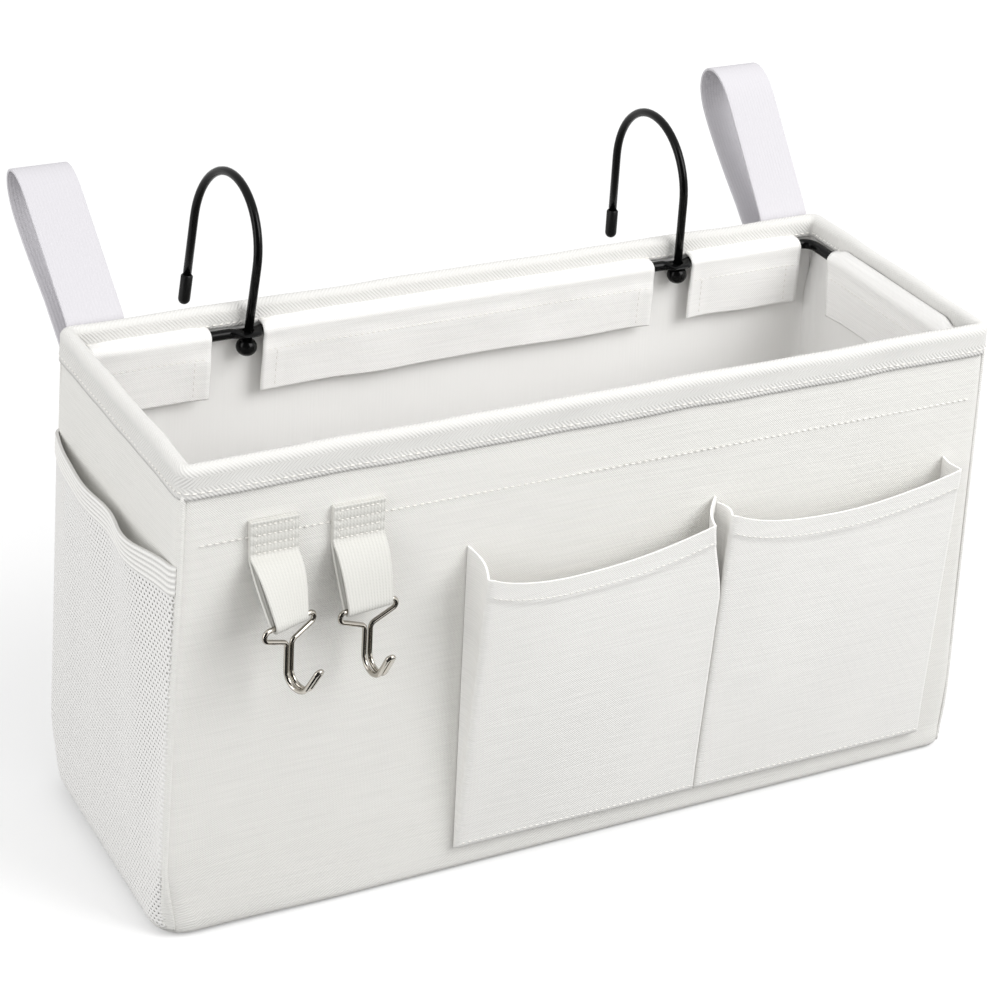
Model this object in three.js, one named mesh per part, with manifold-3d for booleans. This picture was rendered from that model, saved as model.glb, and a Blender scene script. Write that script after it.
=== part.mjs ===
// Bedside caddy: a canvas tub on a wire frame, hung from a bed rail by two wire hooks and two strap loops.
// Millimetres, +Z up. The origin is on the floor at the middle of the base, the front faces -Y.
import * as THREE from "three";
import { mergeVertices } from "three/addons/utils/BufferGeometryUtils.js";
import Module from "manifold-3d";

const wasm = await Module();
wasm.setup();

// Tub, measured over the canvas at the rim
const TUB_LENGTH = 384;
const TUB_DEPTH = 141;
const TUB_HEIGHT = 224;
const BASE_FLARE = 10; // each end wall stands this much further out at the floor than at the rim
const EDGE_RADIUS = 4; // upright edges of the canvas
const BASE_EDGE_RADIUS = 3; // lower edges of the canvas

// Layers of the walls and the base
const CANVAS = 1;
const BOARD = 2;
const BASE_BOARD = 3;
const LINING = 0.6;
const LAYER_GAP = 0.3; // air between sewn layers, and at every seam

// Binding tape over the rim
const TAPE = 1.2;
const TAPE_OUTER_LEG = 12.5;
const TAPE_INNER_LEG = 8;
const TAPE_ROUNDING = 1;

// Wire frame inside the rim
const ROD_DIAMETER = 4.8;
const FRAME_DROP = 10.5; // rod axis below the top of the wall
const FRAME_BEND = 6; // centre-line radius of the corners
const ROD_END_GAP = 0.5; // the two ends of the rod meet at the front
const EYE_LENGTH = 16;
const EYE_DEPTH = 10;
const EYE_THICKNESS = 2.6;
const EYE_PLAY = 0.6; // air round the hook wire in its eye
const EYE_WALL_GAP = 0.4; // eye to lining

// Casings that hold the rod
const CASING_CLOTH = 0.8;
const CASING_PLAY = 0.3; // air between rod and cloth
const CASING_DROP = 29; // lower edge below the rod axis
const CASING_CORNER_GAP = 17; // rod left bare on each end wall, from the back bend to the casing
const NOTCH_WIDTH = 27; // gap between casing flaps at each hook

// Rail hooks
const HOOK_SPREAD = 218; // eye to eye
const HOOK_WIRE = 4;
const HOOK_RISE = 31.5; // eye to the start of the bend
const HOOK_RADIUS = 31.5; // centre line of the bend
const HOOK_LEG = 37; // straight wire below the bend, ending inside the tip
const HEAD_DIAMETER = 9.5;
const HEAD_HEIGHT = 5;
const HEAD_PLAY = 0.8; // head to the underside of the eye
const TIP_DIAMETER = 5.6;
const TIP_LENGTH = 13;
const TIP_GRIP = 5; // how deep wire sits in tip
const LEFT_HOOK_LEAN = THREE.MathUtils.degToRad(7);
const LEFT_HOOK_YAW = THREE.MathUtils.degToRad(3.5);
const LEFT_HOOK_DROP = 2.5; // the left hook has slipped this far down its eye

// Strap loops at the back
const STRAP_WIDTH = 26;
const STRAP = 1.4;
const STRAP_END_GAP = 4; // strap to the end of the tub
const STRAP_ROOT = 22; // sewn edge below the top of the wall
const STRAP_SEWN = 18; // height of the sewn-down part
const STRAP_RUN = 60; // straight part of the loop above the rim
const STRAP_CROWN = 25; // control height of the rounded top
const STRAP_LOOP = 25; // depth of the loop
const STRAP_LEAN = { left: THREE.MathUtils.degToRad(45), right: THREE.MathUtils.degToRad(34) };
const STRAP_SWAY = -0.07; // sideways drift of the loop for each unit of height over the rim
const STRAP_FOOT_LEAN = THREE.MathUtils.degToRad(50); // the far layer leaves the panel at this angle

// Webbing tabs on the front
const TAB_WIDTH = 23;
const TAB = 1.3;
const TAB_TOP = 26.5; // upper edge below the top of the wall
const TAB_SEWN = 16; // height of the sewn-down part
const TAB_LENGTH = 28; // sewn edge to the bar of the hook
const SEWN_GAP = 0.5; // sewn-down part to the loop that swings below or above it
const TAB_SIDES = { // middle of each tab from the left end of the tub
  left: { inset: 38, lean: THREE.MathUtils.degToRad(38), twist: THREE.MathUtils.degToRad(20) },
  right: { inset: 75, lean: THREE.MathUtils.degToRad(26), twist: THREE.MathUtils.degToRad(8) },
};

// Accessory hooks, each bent from one wire
const NICKEL_WIRE = 2.2;
const BAR_WIDTH = 27; // centre lines, corner to corner
const BAR_CORNER = 2.4;
const BAR_END_GAP = 1; // the two ends of the wire meet inside the tab
const BAR_PLAY = 0.3; // bar to webbing
const HANGER_SLOPE = THREE.MathUtils.degToRad(22);
const HANGER_BEND = 3;
const WIRE_SPACING = 2.8; // centre lines of the doubled shank
const SHANK = 11;
const CURL_RADIUS = 6.5;
const CURL_ANGLE = THREE.MathUtils.degToRad(150);
const CURL_LEG = 10;

// Front pockets
const POCKET_CLOTH = 1;
const POCKET_TAB_GAP = 52; // middle of the right tab to the left pocket
const POCKET_SEAM = 1; // between the two pockets
const POCKET_END_GAP = 18; // right edge of the right pocket to the end of the tub
const POCKET_FOOT = 14;
const POCKET_HEIGHT = 149;
const POCKET_TOE = 3; // stands out this far at the bottom
const POCKET_MOUTH = 14.5; // and this far at the top
const POCKET_SAG = 10; // the mouth's edge hangs through in the middle

// Mesh pockets on the ends
const MESH = 0.9;
const MESH_FOOT = 8;
const MESH_HEIGHT = 160;
const MESH_BOW = 7.5; // the mouth stands off the end wall
const ELASTIC = 2;
const ELASTIC_HEIGHT = 10;

// Derived sizes
const HALF_LENGTH = TUB_LENGTH / 2;
const HALF_DEPTH = TUB_DEPTH / 2;
const BOARD_FACE = CANVAS + LAYER_GAP;
const LINING_FACE = BOARD_FACE + BOARD + LAYER_GAP;
const WALL = LINING_FACE + LINING;
const BASE_TOP = CANVAS + LAYER_GAP + BASE_BOARD + LAYER_GAP; // lower face of the base lining
const FLOOR = BASE_TOP + LINING;
const PAN_HEIGHT = BASE_EDGE_RADIUS + CANVAS; // turned-up edge of the base canvas
const PANEL_FOOT = PAN_HEIGHT + LAYER_GAP;
const FRAME_Z = TUB_HEIGHT - FRAME_DROP;
const FRAME_OFFSET = EYE_DEPTH / 2 + EYE_WALL_GAP; // rod axis to lining
const FRAME_X = HALF_LENGTH - WALL - FRAME_OFFSET;
const FRAME_Y = HALF_DEPTH - WALL - FRAME_OFFSET;
const CASING_END = FRAME_X - FRAME_BEND;
const POCKET_ROOM = TUB_LENGTH - TAB_SIDES.right.inset - POCKET_TAB_GAP - POCKET_END_GAP;
const POCKET_WIDTH = (POCKET_ROOM - POCKET_SEAM) / 2;
const HEAD_TOP = -EYE_THICKNESS / 2 - HEAD_PLAY;
const HEAD_GRIP = HEAD_HEIGHT * 0.6; // how deep the wire sits in the head
const SIDES = { left: -1, right: 1 };
const X = new THREE.Vector3(1, 0, 0);
const Y = new THREE.Vector3(0, 1, 0);
const Z = new THREE.Vector3(0, 0, 1);

function finish(color, roughness, metalness) {
  return new THREE.MeshStandardMaterial({ color, roughness, metalness });
}

const CANVAS_CLOTH = finish(0xe9e7e2, 0.9, 0);
const LINING_CLOTH = finish(0xe6e5e0, 0.85, 0);
const BINDING_TAPE = finish(0xece9e3, 0.85, 0);
const GREY_BOARD = finish(0xb9b3a6, 0.95, 0);
const BLACK_WIRE = finish(0x161616, 0.3, 0.2);
const BLACK_RUBBER = finish(0x1b1b1b, 0.7, 0);
const STRAP_WEBBING = finish(0xeceaf1, 0.7, 0);
const TAB_WEBBING = finish(0xefede6, 0.8, 0);
const NICKEL = finish(0xc9c5bd, 0.2, 1);
const NET = finish(0xe2e1de, 0.8, 0);
const ELASTIC_TAPE = finish(0xe6e4e1, 0.75, 0);

const caddy = new THREE.Group();

function add(name, geometry, material, parent = caddy) {
  const mesh = new THREE.Mesh(geometry, material);
  mesh.name = name;
  parent.add(mesh);
}

// Solids and booleans

function solid(geometry) {
  const bare = geometry.clone();
  bare.deleteAttribute("normal");
  bare.deleteAttribute("uv");
  const merged = mergeVertices(bare, 1e-4);
  return new wasm.Manifold(new wasm.Mesh({
    numProp: 3,
    vertProperties: new Float32Array(merged.attributes.position.array),
    triVerts: new Uint32Array(merged.index.array),
  }));
}

function geometryOf(manifold) {
  const mesh = manifold.getMesh();
  const geometry = new THREE.BufferGeometry();
  geometry.setAttribute("position", new THREE.BufferAttribute(mesh.vertProperties, 3));
  geometry.setIndex(new THREE.BufferAttribute(mesh.triVerts, 1));
  return geometry;
}

// The end walls lean out towards the floor, so lengths grow as they go down
function flareAt(z) {
  return 1 + (BASE_FLARE / HALF_LENGTH) * (1 - z / TUB_HEIGHT);
}

function flare(geometry) {
  const position = geometry.attributes.position;
  for (let i = 0; i < position.count; i += 1) {
    position.setX(i, position.getX(i) * flareAt(position.getZ(i)));
  }
  return geometry;
}

function block(xMin, xMax, yMin, yMax, zMin, zMax) {
  const geometry = new THREE.BoxGeometry(xMax - xMin, yMax - yMin, zMax - zMin);
  return geometry.translate((xMin + xMax) / 2, (yMin + yMax) / 2, (zMin + zMax) / 2);
}

// Rounded rectangle in plan, this much smaller all round than the canvas
function tubOutline(inset, radius, PathType = THREE.Shape) {
  const x = HALF_LENGTH - inset;
  const y = HALF_DEPTH - inset;
  const outline = new PathType();
  outline.absarc(x - radius, y - radius, radius, 0, Math.PI / 2);
  outline.absarc(radius - x, y - radius, radius, Math.PI / 2, Math.PI);
  outline.absarc(radius - x, radius - y, radius, Math.PI, 1.5 * Math.PI);
  outline.absarc(x - radius, radius - y, radius, 1.5 * Math.PI, 2 * Math.PI);
  return outline;
}

function prism(shape, zMin, zMax, curveSegments = 4) {
  const settings = { depth: zMax - zMin, bevelEnabled: false, curveSegments };
  return new THREE.ExtrudeGeometry(shape, settings).translate(0, 0, zMin);
}

// Prism between two heights whose upper and lower edges are rounded
function roundedPrism(shape, zMin, zMax, rounding, bevelSegments) {
  return new THREE.ExtrudeGeometry(shape, {
    depth: zMax - zMin - 2 * rounding,
    bevelThickness: rounding,
    bevelSize: rounding,
    bevelOffset: -rounding,
    bevelSegments,
    curveSegments: 4,
  }).translate(0, 0, zMin + rounding);
}

// Section drawn as distance off a wall and height, swept along the wall and centred on the middle of its run
function alongWall(shape, off, length, origin) {
  const geometry = new THREE.ExtrudeGeometry(shape, { depth: length, bevelEnabled: false, curveSegments: 5 });
  const run = new THREE.Vector3().crossVectors(off, Z);
  geometry.translate(0, 0, -length / 2);
  return geometry.applyMatrix4(new THREE.Matrix4().makeBasis(off, Z, run).setPosition(origin));
}

// Closed sheet of cloth between two faces, each given by its share across and its share up
function sheet(innerFace, outerFace, columns, rows) {
  const positions = [];
  const index = [];
  const id = (layer, row, column) => (layer * (rows + 1) + row) * (columns + 1) + column;
  const quad = (a, b, c, d) => index.push(a, b, c, a, c, d);
  for (const face of [innerFace, outerFace]) {
    for (let row = 0; row <= rows; row += 1) {
      for (let column = 0; column <= columns; column += 1) {
        positions.push(...face(column / columns, row / rows));
      }
    }
  }
  for (let row = 0; row < rows; row += 1) {
    quad(id(0, row, 0), id(1, row, 0), id(1, row + 1, 0), id(0, row + 1, 0));
    quad(id(1, row, columns), id(0, row, columns), id(0, row + 1, columns), id(1, row + 1, columns));
    for (let column = 0; column < columns; column += 1) {
      quad(id(0, row, column), id(0, row + 1, column), id(0, row + 1, column + 1), id(0, row, column + 1));
      quad(id(1, row, column), id(1, row, column + 1), id(1, row + 1, column + 1), id(1, row + 1, column));
    }
  }
  for (let column = 0; column < columns; column += 1) {
    quad(id(0, 0, column), id(0, 0, column + 1), id(1, 0, column + 1), id(1, 0, column));
    quad(id(1, rows, column), id(1, rows, column + 1), id(0, rows, column + 1), id(0, rows, column));
  }
  const geometry = new THREE.BufferGeometry();
  geometry.setAttribute("position", new THREE.Float32BufferAttribute(positions, 3));
  geometry.setIndex(index);
  return geometry;
}

// Webbing of even thickness that follows a line drawn in profile; place puts a profile point into space
function webbing(line, thickness, width, place) {
  const last = line.length - 1;
  const edge = (side) => line.map((point, i) => {
    const along = line[Math.min(i + 1, last)].clone().sub(line[Math.max(i - 1, 0)]).normalize();
    return new THREE.Vector2(-along.y, along.x).multiplyScalar((side * thickness) / 2).add(point);
  });
  const face = (points) => (u, v) => place(points[Math.round(v * last)], width * (u - 0.5));
  return sheet(face(edge(1)), face(edge(-1)), 1, last);
}

// Wire shaped as on a bender: straight runs and round bends, one after the other
class BentWire extends THREE.Curve {
  constructor(start, heading) {
    super();
    this.end = start.clone();
    this.heading = heading.clone();
    this.stations = [];
    this.mark();
  }

  mark() {
    this.stations.push({ point: this.end.clone(), heading: this.heading.clone() });
    return this;
  }

  straight(length) {
    this.end.addScaledVector(this.heading, length);
    return this.mark();
  }

  bend(radius, angle, towards, count) {
    const entry = this.heading.clone();
    const inward = towards.clone().addScaledVector(entry, -towards.dot(entry)).normalize();
    const axis = new THREE.Vector3().crossVectors(entry, inward);
    const centre = this.end.clone().addScaledVector(inward, radius);
    for (let i = 1; i <= count; i += 1) {
      const turned = (angle * i) / count;
      const arm = inward.clone().applyAxisAngle(axis, turned);
      this.end.copy(centre).addScaledVector(arm, -radius);
      this.heading.copy(entry).applyAxisAngle(axis, turned);
      this.mark();
    }
    return this;
  }

  station(t) {
    return this.stations[Math.round(t * (this.stations.length - 1))];
  }

  getPointAt(t) {
    return this.station(t).point.clone();
  }

  getTangentAt(t) {
    return this.station(t).heading.clone();
  }

  tube(diameter, sides) {
    const section = new THREE.Shape().absarc(0, 0, diameter / 2, 0, 2 * Math.PI);
    return new THREE.ExtrudeGeometry(section, {
      extrudePath: this,
      steps: this.stations.length - 1,
      curveSegments: sides / 2,
    });
  }
}

// Turned piece: the profile gives radius and height, from axis to axis
function turned(profile, segments) {
  const points = profile.map(([radius, height]) => new THREE.Vector2(radius, height));
  return new THREE.LatheGeometry(points, segments).rotateX(Math.PI / 2);
}

// Quarter-round profile points from the side of a turned piece down to its axis
function domeProfile(radius, zEdge, zEnd, count) {
  return Array.from({ length: count + 1 }, (_, i) => {
    const angle = (i / count) * (Math.PI / 2);
    return [i === count ? 0 : radius * Math.cos(angle), zEdge + (zEnd - zEdge) * Math.sin(angle)];
  });
}

// Outer canvas: flat front and back, end panels that turn round the upright edges

function endPanelOutline(side) {
  const outer = HALF_LENGTH - EDGE_RADIUS;
  const corner = HALF_DEPTH - EDGE_RADIUS;
  const outline = new THREE.Shape();
  outline.absarc(outer, -corner, EDGE_RADIUS, -Math.PI / 2, 0);
  outline.absarc(outer, corner, EDGE_RADIUS, 0, Math.PI / 2);
  outline.absarc(outer, corner, EDGE_RADIUS - CANVAS, Math.PI / 2, 0, true);
  outline.absarc(outer, -corner, EDGE_RADIUS - CANVAS, 0, -Math.PI / 2, true);
  const points = outline.getPoints(4).map((point) => new THREE.Vector2(side * point.x, point.y));
  return new THREE.Shape(points);
}

const panelHalf = HALF_LENGTH - EDGE_RADIUS - LAYER_GAP;
for (const [name, face] of [["front", -1], ["back", 1]]) {
  const [near, far] = [HALF_DEPTH, HALF_DEPTH - CANVAS].map((depth) => face * depth).sort((a, b) => a - b);
  add(`outer_${name}_panel`, flare(block(-panelHalf, panelHalf, near, far, PANEL_FOOT, TUB_HEIGHT)), CANVAS_CLOTH);
}
for (const [name, side] of Object.entries(SIDES)) {
  add(`outer_${name}_panel`, flare(prism(endPanelOutline(side), PANEL_FOOT, TUB_HEIGHT)), CANVAS_CLOTH);
}

// The base canvas turns up all round with a soft edge
function basePan() {
  const above = 2 * PAN_HEIGHT + BASE_EDGE_RADIUS;
  const outline = tubOutline(0, EDGE_RADIUS);
  const hollow = tubOutline(CANVAS, EDGE_RADIUS - CANVAS);
  const outer = solid(roundedPrism(outline, 0, above, BASE_EDGE_RADIUS, 4));
  const inner = solid(roundedPrism(hollow, CANVAS, above, BASE_EDGE_RADIUS - CANVAS, 4));
  const top = solid(block(-TUB_LENGTH, TUB_LENGTH, -TUB_DEPTH, TUB_DEPTH, PAN_HEIGHT, above + PAN_HEIGHT));
  return geometryOf(outer.subtract(inner).subtract(top));
}
add("outer_base_panel", flare(basePan()), CANVAS_CLOTH);

// Stiff boards and lining, as flat sheets one behind the other

function wallSheet(wall, faceInset, thickness, halfRun, zMin) {
  const outer = (wall === "front" || wall === "back" ? HALF_DEPTH : HALF_LENGTH) - faceInset;
  const inner = outer - thickness;
  const spans = {
    front: [-halfRun, halfRun, -outer, -inner],
    back: [-halfRun, halfRun, inner, outer],
    left: [-outer, -inner, -halfRun, halfRun],
    right: [inner, outer, -halfRun, halfRun],
  };
  return flare(block(...spans[wall], zMin, TUB_HEIGHT));
}

for (const wall of ["front", "back", "left", "right"]) {
  const long = wall === "front" || wall === "back";
  const boardHalf = (long ? HALF_LENGTH : HALF_DEPTH) - EDGE_RADIUS;
  const liningHalf = long ? HALF_LENGTH - LINING_FACE : HALF_DEPTH - WALL - LAYER_GAP;
  add(`${wall}_board`, wallSheet(wall, BOARD_FACE, BOARD, boardHalf, BASE_TOP), GREY_BOARD);
  add(`lining_${wall}`, wallSheet(wall, LINING_FACE, LINING, liningHalf, FLOOR + LAYER_GAP), LINING_CLOTH);
}

function baseSheet(inset, zMin, thickness) {
  return flare(prism(tubOutline(inset, EDGE_RADIUS), zMin, zMin + thickness));
}
add("base_board", baseSheet(BASE_EDGE_RADIUS, CANVAS + LAYER_GAP, BASE_BOARD), GREY_BOARD);
add("lining_base", baseSheet(WALL, BASE_TOP, LINING), LINING_CLOTH);

// Binding tape: one ring of U-section over the top of all the wall layers
function bindingTape() {
  const reach = LAYER_GAP + TAPE;
  const crown = TUB_HEIGHT + reach;
  const lower = TUB_HEIGHT - TAPE_OUTER_LEG;
  const below = lower - TAPE_OUTER_LEG;
  const ring = tubOutline(-reach, EDGE_RADIUS + reach);
  ring.holes.push(tubOutline(WALL + reach, EDGE_RADIUS, THREE.Path));
  const slot = tubOutline(-LAYER_GAP, EDGE_RADIUS + LAYER_GAP);
  slot.holes.push(tubOutline(WALL + LAYER_GAP, EDGE_RADIUS, THREE.Path));
  const innerLegs = prism(tubOutline(WALL / 2, EDGE_RADIUS), below, TUB_HEIGHT - TAPE_INNER_LEG);
  const tape = solid(roundedPrism(ring, lower, crown, TAPE_ROUNDING, 2))
    .subtract(solid(prism(slot, below, TUB_HEIGHT + LAYER_GAP)))
    .subtract(solid(innerLegs));
  return geometryOf(tape);
}
add("rim_binding", flare(bindingTape()), BINDING_TAPE);

// Wire frame: one rod bent to a rectangle, flattened and pierced where the hooks stand

function eyeOutline() {
  const round = EYE_DEPTH / 2;
  const flat = EYE_LENGTH / 2 - round;
  const outline = new THREE.Shape();
  outline.absarc(flat, 0, round, -Math.PI / 2, Math.PI / 2);
  outline.absarc(-flat, 0, round, Math.PI / 2, 1.5 * Math.PI);
  return outline;
}

function wireFrame() {
  const halfFront = FRAME_X - FRAME_BEND - ROD_END_GAP / 2;
  const side = 2 * (FRAME_Y - FRAME_BEND);
  const quarter = Math.PI / 2;
  const rod = new BentWire(new THREE.Vector3(ROD_END_GAP / 2, -FRAME_Y, FRAME_Z), X)
    .straight(halfFront)
    .bend(FRAME_BEND, quarter, Y, 5)
    .straight(side)
    .bend(FRAME_BEND, quarter, X.clone().negate(), 5)
    .straight(2 * (FRAME_X - FRAME_BEND))
    .bend(FRAME_BEND, quarter, Y.clone().negate(), 5)
    .straight(side)
    .bend(FRAME_BEND, quarter, X, 5)
    .straight(halfFront);
  let frame = solid(rod.tube(ROD_DIAMETER, 10));
  const drill = new THREE.CylinderGeometry(HOOK_WIRE / 2 + EYE_PLAY, HOOK_WIRE / 2 + EYE_PLAY, EYE_DEPTH, 20);
  const squeeze = new THREE.CylinderGeometry(EYE_DEPTH / 2, EYE_DEPTH / 2, EYE_DEPTH, 20);
  for (const sign of Object.values(SIDES)) {
    const eye = new THREE.Matrix4().makeRotationX(Math.PI / 2);
    eye.setPosition((sign * HOOK_SPREAD) / 2, FRAME_Y, FRAME_Z);
    const half = EYE_THICKNESS / 2;
    const pad = prism(eyeOutline(), FRAME_Z - half, FRAME_Z + half, 6).translate((sign * HOOK_SPREAD) / 2, FRAME_Y, 0);
    frame = frame.subtract(solid(squeeze.clone().applyMatrix4(eye)))
      .add(solid(pad))
      .subtract(solid(drill.clone().applyMatrix4(eye)));
  }
  return geometryOf(frame);
}
add("wire_frame", flare(wireFrame()), BLACK_WIRE);

// Casings: cloth that lies on the lining, turns over the rod and comes back under it
function casingSection() {
  const bore = ROD_DIAMETER / 2 + CASING_PLAY;
  const outer = bore + CASING_CLOTH;
  const back = LAYER_GAP;
  const front = LAYER_GAP + 2 * CASING_CLOTH;
  const section = new THREE.Shape();
  section.moveTo(back, -CASING_DROP);
  section.lineTo(front, -CASING_DROP);
  section.lineTo(front, -outer - CASING_CLOTH);
  section.absarc(FRAME_OFFSET, 0, outer, -Math.PI / 2, 0.75 * Math.PI);
  section.lineTo(back, 0);
  section.holes.push(new THREE.Path().absarc(FRAME_OFFSET, 0, bore, 0, 2 * Math.PI));
  return section;
}

function casing(wall, start, end) {
  const off = { front: Y, back: Y.clone().negate(), left: X, right: X.clone().negate() }[wall];
  const middle = (start + end) / 2;
  const origin = off.clone().multiply(new THREE.Vector3(WALL - HALF_LENGTH, WALL - HALF_DEPTH, 0));
  origin.z = FRAME_Z;
  if (off.y === 0) {
    origin.y = middle;
  } else {
    origin.x = middle;
  }
  return flare(alongWall(casingSection(), off, end - start, origin));
}

const notchInner = (HOOK_SPREAD - NOTCH_WIDTH) / 2;
const notchOuter = (HOOK_SPREAD + NOTCH_WIDTH) / 2;
add("casing_flap_left", casing("back", -CASING_END, -notchOuter), CANVAS_CLOTH);
add("casing_flap_middle", casing("back", -notchInner, notchInner), CANVAS_CLOTH);
add("casing_flap_right", casing("back", notchOuter, CASING_END), CANVAS_CLOTH);
add("casing_band_front", casing("front", -CASING_END, CASING_END), CANVAS_CLOTH);
const sideRun = FRAME_Y - FRAME_BEND;
for (const side of Object.keys(SIDES)) {
  add(`casing_band_${side}`, casing(side, -sideRun, sideRun - CASING_CORNER_GAP), CANVAS_CLOTH);
}

// Rail hooks, drawn about the middle of the eye

function railHook() {
  const foot = HEAD_TOP - HEAD_GRIP + LAYER_GAP;
  return new BentWire(new THREE.Vector3(0, 0, foot), Z)
    .straight(HOOK_RISE - foot)
    .bend(HOOK_RADIUS, Math.PI, Y, 18)
    .straight(HOOK_LEG)
    .tube(HOOK_WIRE, 10);
}

function hookHead() {
  const bore = HOOK_WIRE / 2 + LAYER_GAP;
  const radius = HEAD_DIAMETER / 2;
  const shoulder = HEAD_TOP - HEAD_HEIGHT / 3;
  const neck = (bore + radius) / 2;
  return turned([
    [0, HEAD_TOP - HEAD_GRIP],
    [bore, HEAD_TOP - HEAD_GRIP],
    [bore, HEAD_TOP],
    [neck, HEAD_TOP],
    ...domeProfile(radius, shoulder, HEAD_TOP - HEAD_HEIGHT, 5),
  ].reverse(), 20);
}

function hookTip() {
  const bore = HOOK_WIRE / 2 + LAYER_GAP;
  const radius = TIP_DIAMETER / 2;
  const tip = turned([
    [0, -TIP_GRIP],
    [bore, -TIP_GRIP],
    [bore, 0],
    ...domeProfile(radius, radius - TIP_LENGTH, -TIP_LENGTH, 4),
  ].reverse(), 14);
  const cover = TIP_GRIP - LAYER_GAP; // the wire's end keeps clear of the bottom of the bore
  return tip.translate(0, 2 * HOOK_RADIUS, HOOK_RISE - HOOK_LEG + cover);
}

for (const [side, sign] of Object.entries(SIDES)) {
  const stand = new THREE.Group();
  stand.position.set((sign * HOOK_SPREAD * flareAt(FRAME_Z)) / 2, FRAME_Y, FRAME_Z);
  if (side === "left") {
    stand.rotation.set(0, LEFT_HOOK_LEAN, LEFT_HOOK_YAW, "YXZ");
    stand.translateZ(-LEFT_HOOK_DROP);
  }
  add(`rail_hook_${side}`, railHook(), BLACK_WIRE, stand);
  add(`hook_head_${side}`, hookHead(), BLACK_WIRE, stand);
  add(`hook_tip_${side}`, hookTip(), BLACK_RUBBER, stand);
  caddy.add(stand);
}

// Strap loops: drawn as distance behind the back panel and height over the top of the wall
function strapLoop(lean) {
  const along = new THREE.Vector2(Math.sin(lean), Math.cos(lean));
  const across = new THREE.Vector2(along.y, -along.x);
  const overTape = 2 * LAYER_GAP + TAPE + STRAP / 2;
  const nearRoot = LAYER_GAP + STRAP / 2;
  const farRoot = new THREE.Vector2(nearRoot + STRAP + LAYER_GAP, STRAP / 2 - STRAP_ROOT);
  const nearTop = new THREE.Vector2(overTape, 0).addScaledVector(along, STRAP_RUN);
  const farTop = nearTop.clone().addScaledVector(across, STRAP_LOOP);
  const crown = along.clone().multiplyScalar(STRAP_CROWN);
  const slack = farTop.clone().addScaledVector(along, -STRAP_RUN / 3);
  const foot = new THREE.Vector2(Math.sin(STRAP_FOOT_LEAN), Math.cos(STRAP_FOOT_LEAN));
  const leaving = farRoot.clone().addScaledVector(foot, STRAP_RUN / 3);
  const nearCrown = nearTop.clone().add(crown);
  const farCrown = farTop.clone().add(crown);
  const line = new THREE.Path();
  line.moveTo(nearRoot, -STRAP_ROOT);
  line.lineTo(overTape, -TAPE_OUTER_LEG);
  line.lineTo(overTape, 0);
  line.lineTo(nearTop.x, nearTop.y);
  line.bezierCurveTo(nearCrown.x, nearCrown.y, farCrown.x, farCrown.y, farTop.x, farTop.y);
  line.bezierCurveTo(slack.x, slack.y, leaving.x, leaving.y, farRoot.x, farRoot.y);
  return line.getPoints(9);
}

const strapPad = 2 * STRAP + LAYER_GAP;
for (const [side, sign] of Object.entries(SIDES)) {
  const middle = sign * (HALF_LENGTH - STRAP_END_GAP - STRAP_WIDTH / 2);
  const top = TUB_HEIGHT - STRAP_ROOT - SEWN_GAP;
  const near = HALF_DEPTH + LAYER_GAP;
  const half = STRAP_WIDTH / 2;
  const behind = (point, across) => {
    const sway = STRAP_SWAY * Math.max(point.y, 0);
    return new THREE.Vector3(middle - across + sway, HALF_DEPTH + point.x, TUB_HEIGHT + point.y);
  };
  add(`strap_${side}`, webbing(strapLoop(STRAP_LEAN[side]), STRAP, STRAP_WIDTH, behind), STRAP_WEBBING);
  add(
    `strap_end_${side}`,
    block(middle - half, middle + half, near, near + strapPad, top - STRAP_SEWN, top),
    STRAP_WEBBING,
  );
}

// Tabs: drawn as distance off the front panel and height over the lower edge of the sewn-down part

const tabPad = 2 * TAB + LAYER_GAP;
const tabRootZ = TUB_HEIGHT - TAB_TOP - TAB_SEWN - SEWN_GAP;

function barCentre(lean) {
  const root = LAYER_GAP + tabPad / 2;
  return new THREE.Vector2(root + TAB_LENGTH * Math.sin(lean), -TAB_LENGTH * Math.cos(lean));
}

function tabLoop(lean) {
  const turn = NICKEL_WIRE / 2 + BAR_PLAY + TAB / 2;
  const bar = barCentre(lean);
  const back = LAYER_GAP + TAB / 2;
  const line = new THREE.Path();
  line.moveTo(back, 0);
  line.absarc(bar.x, bar.y, turn, lean - Math.PI, lean, false);
  line.lineTo(back + TAB + LAYER_GAP, 0);
  return line.getSpacedPoints(44);
}

// The loop turns about the upright through its middle, the more the further it is from the sewn edge
function tabPoint({ inset, lean, twist }, point, across) {
  const root = LAYER_GAP + tabPad / 2;
  const reach = barCentre(lean).x - root;
  const down = (point.x - root) * Math.sin(lean) - point.y * Math.cos(lean);
  const share = THREE.MathUtils.clamp(down / TAB_LENGTH, 0, 1);
  const middle = root + share * reach;
  const arm = new THREE.Vector3(across, middle - point.x, 0).applyAxisAngle(Z, twist * share);
  return new THREE.Vector3(inset - HALF_LENGTH + arm.x, arm.y - HALF_DEPTH - middle, tabRootZ + point.y);
}

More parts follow.
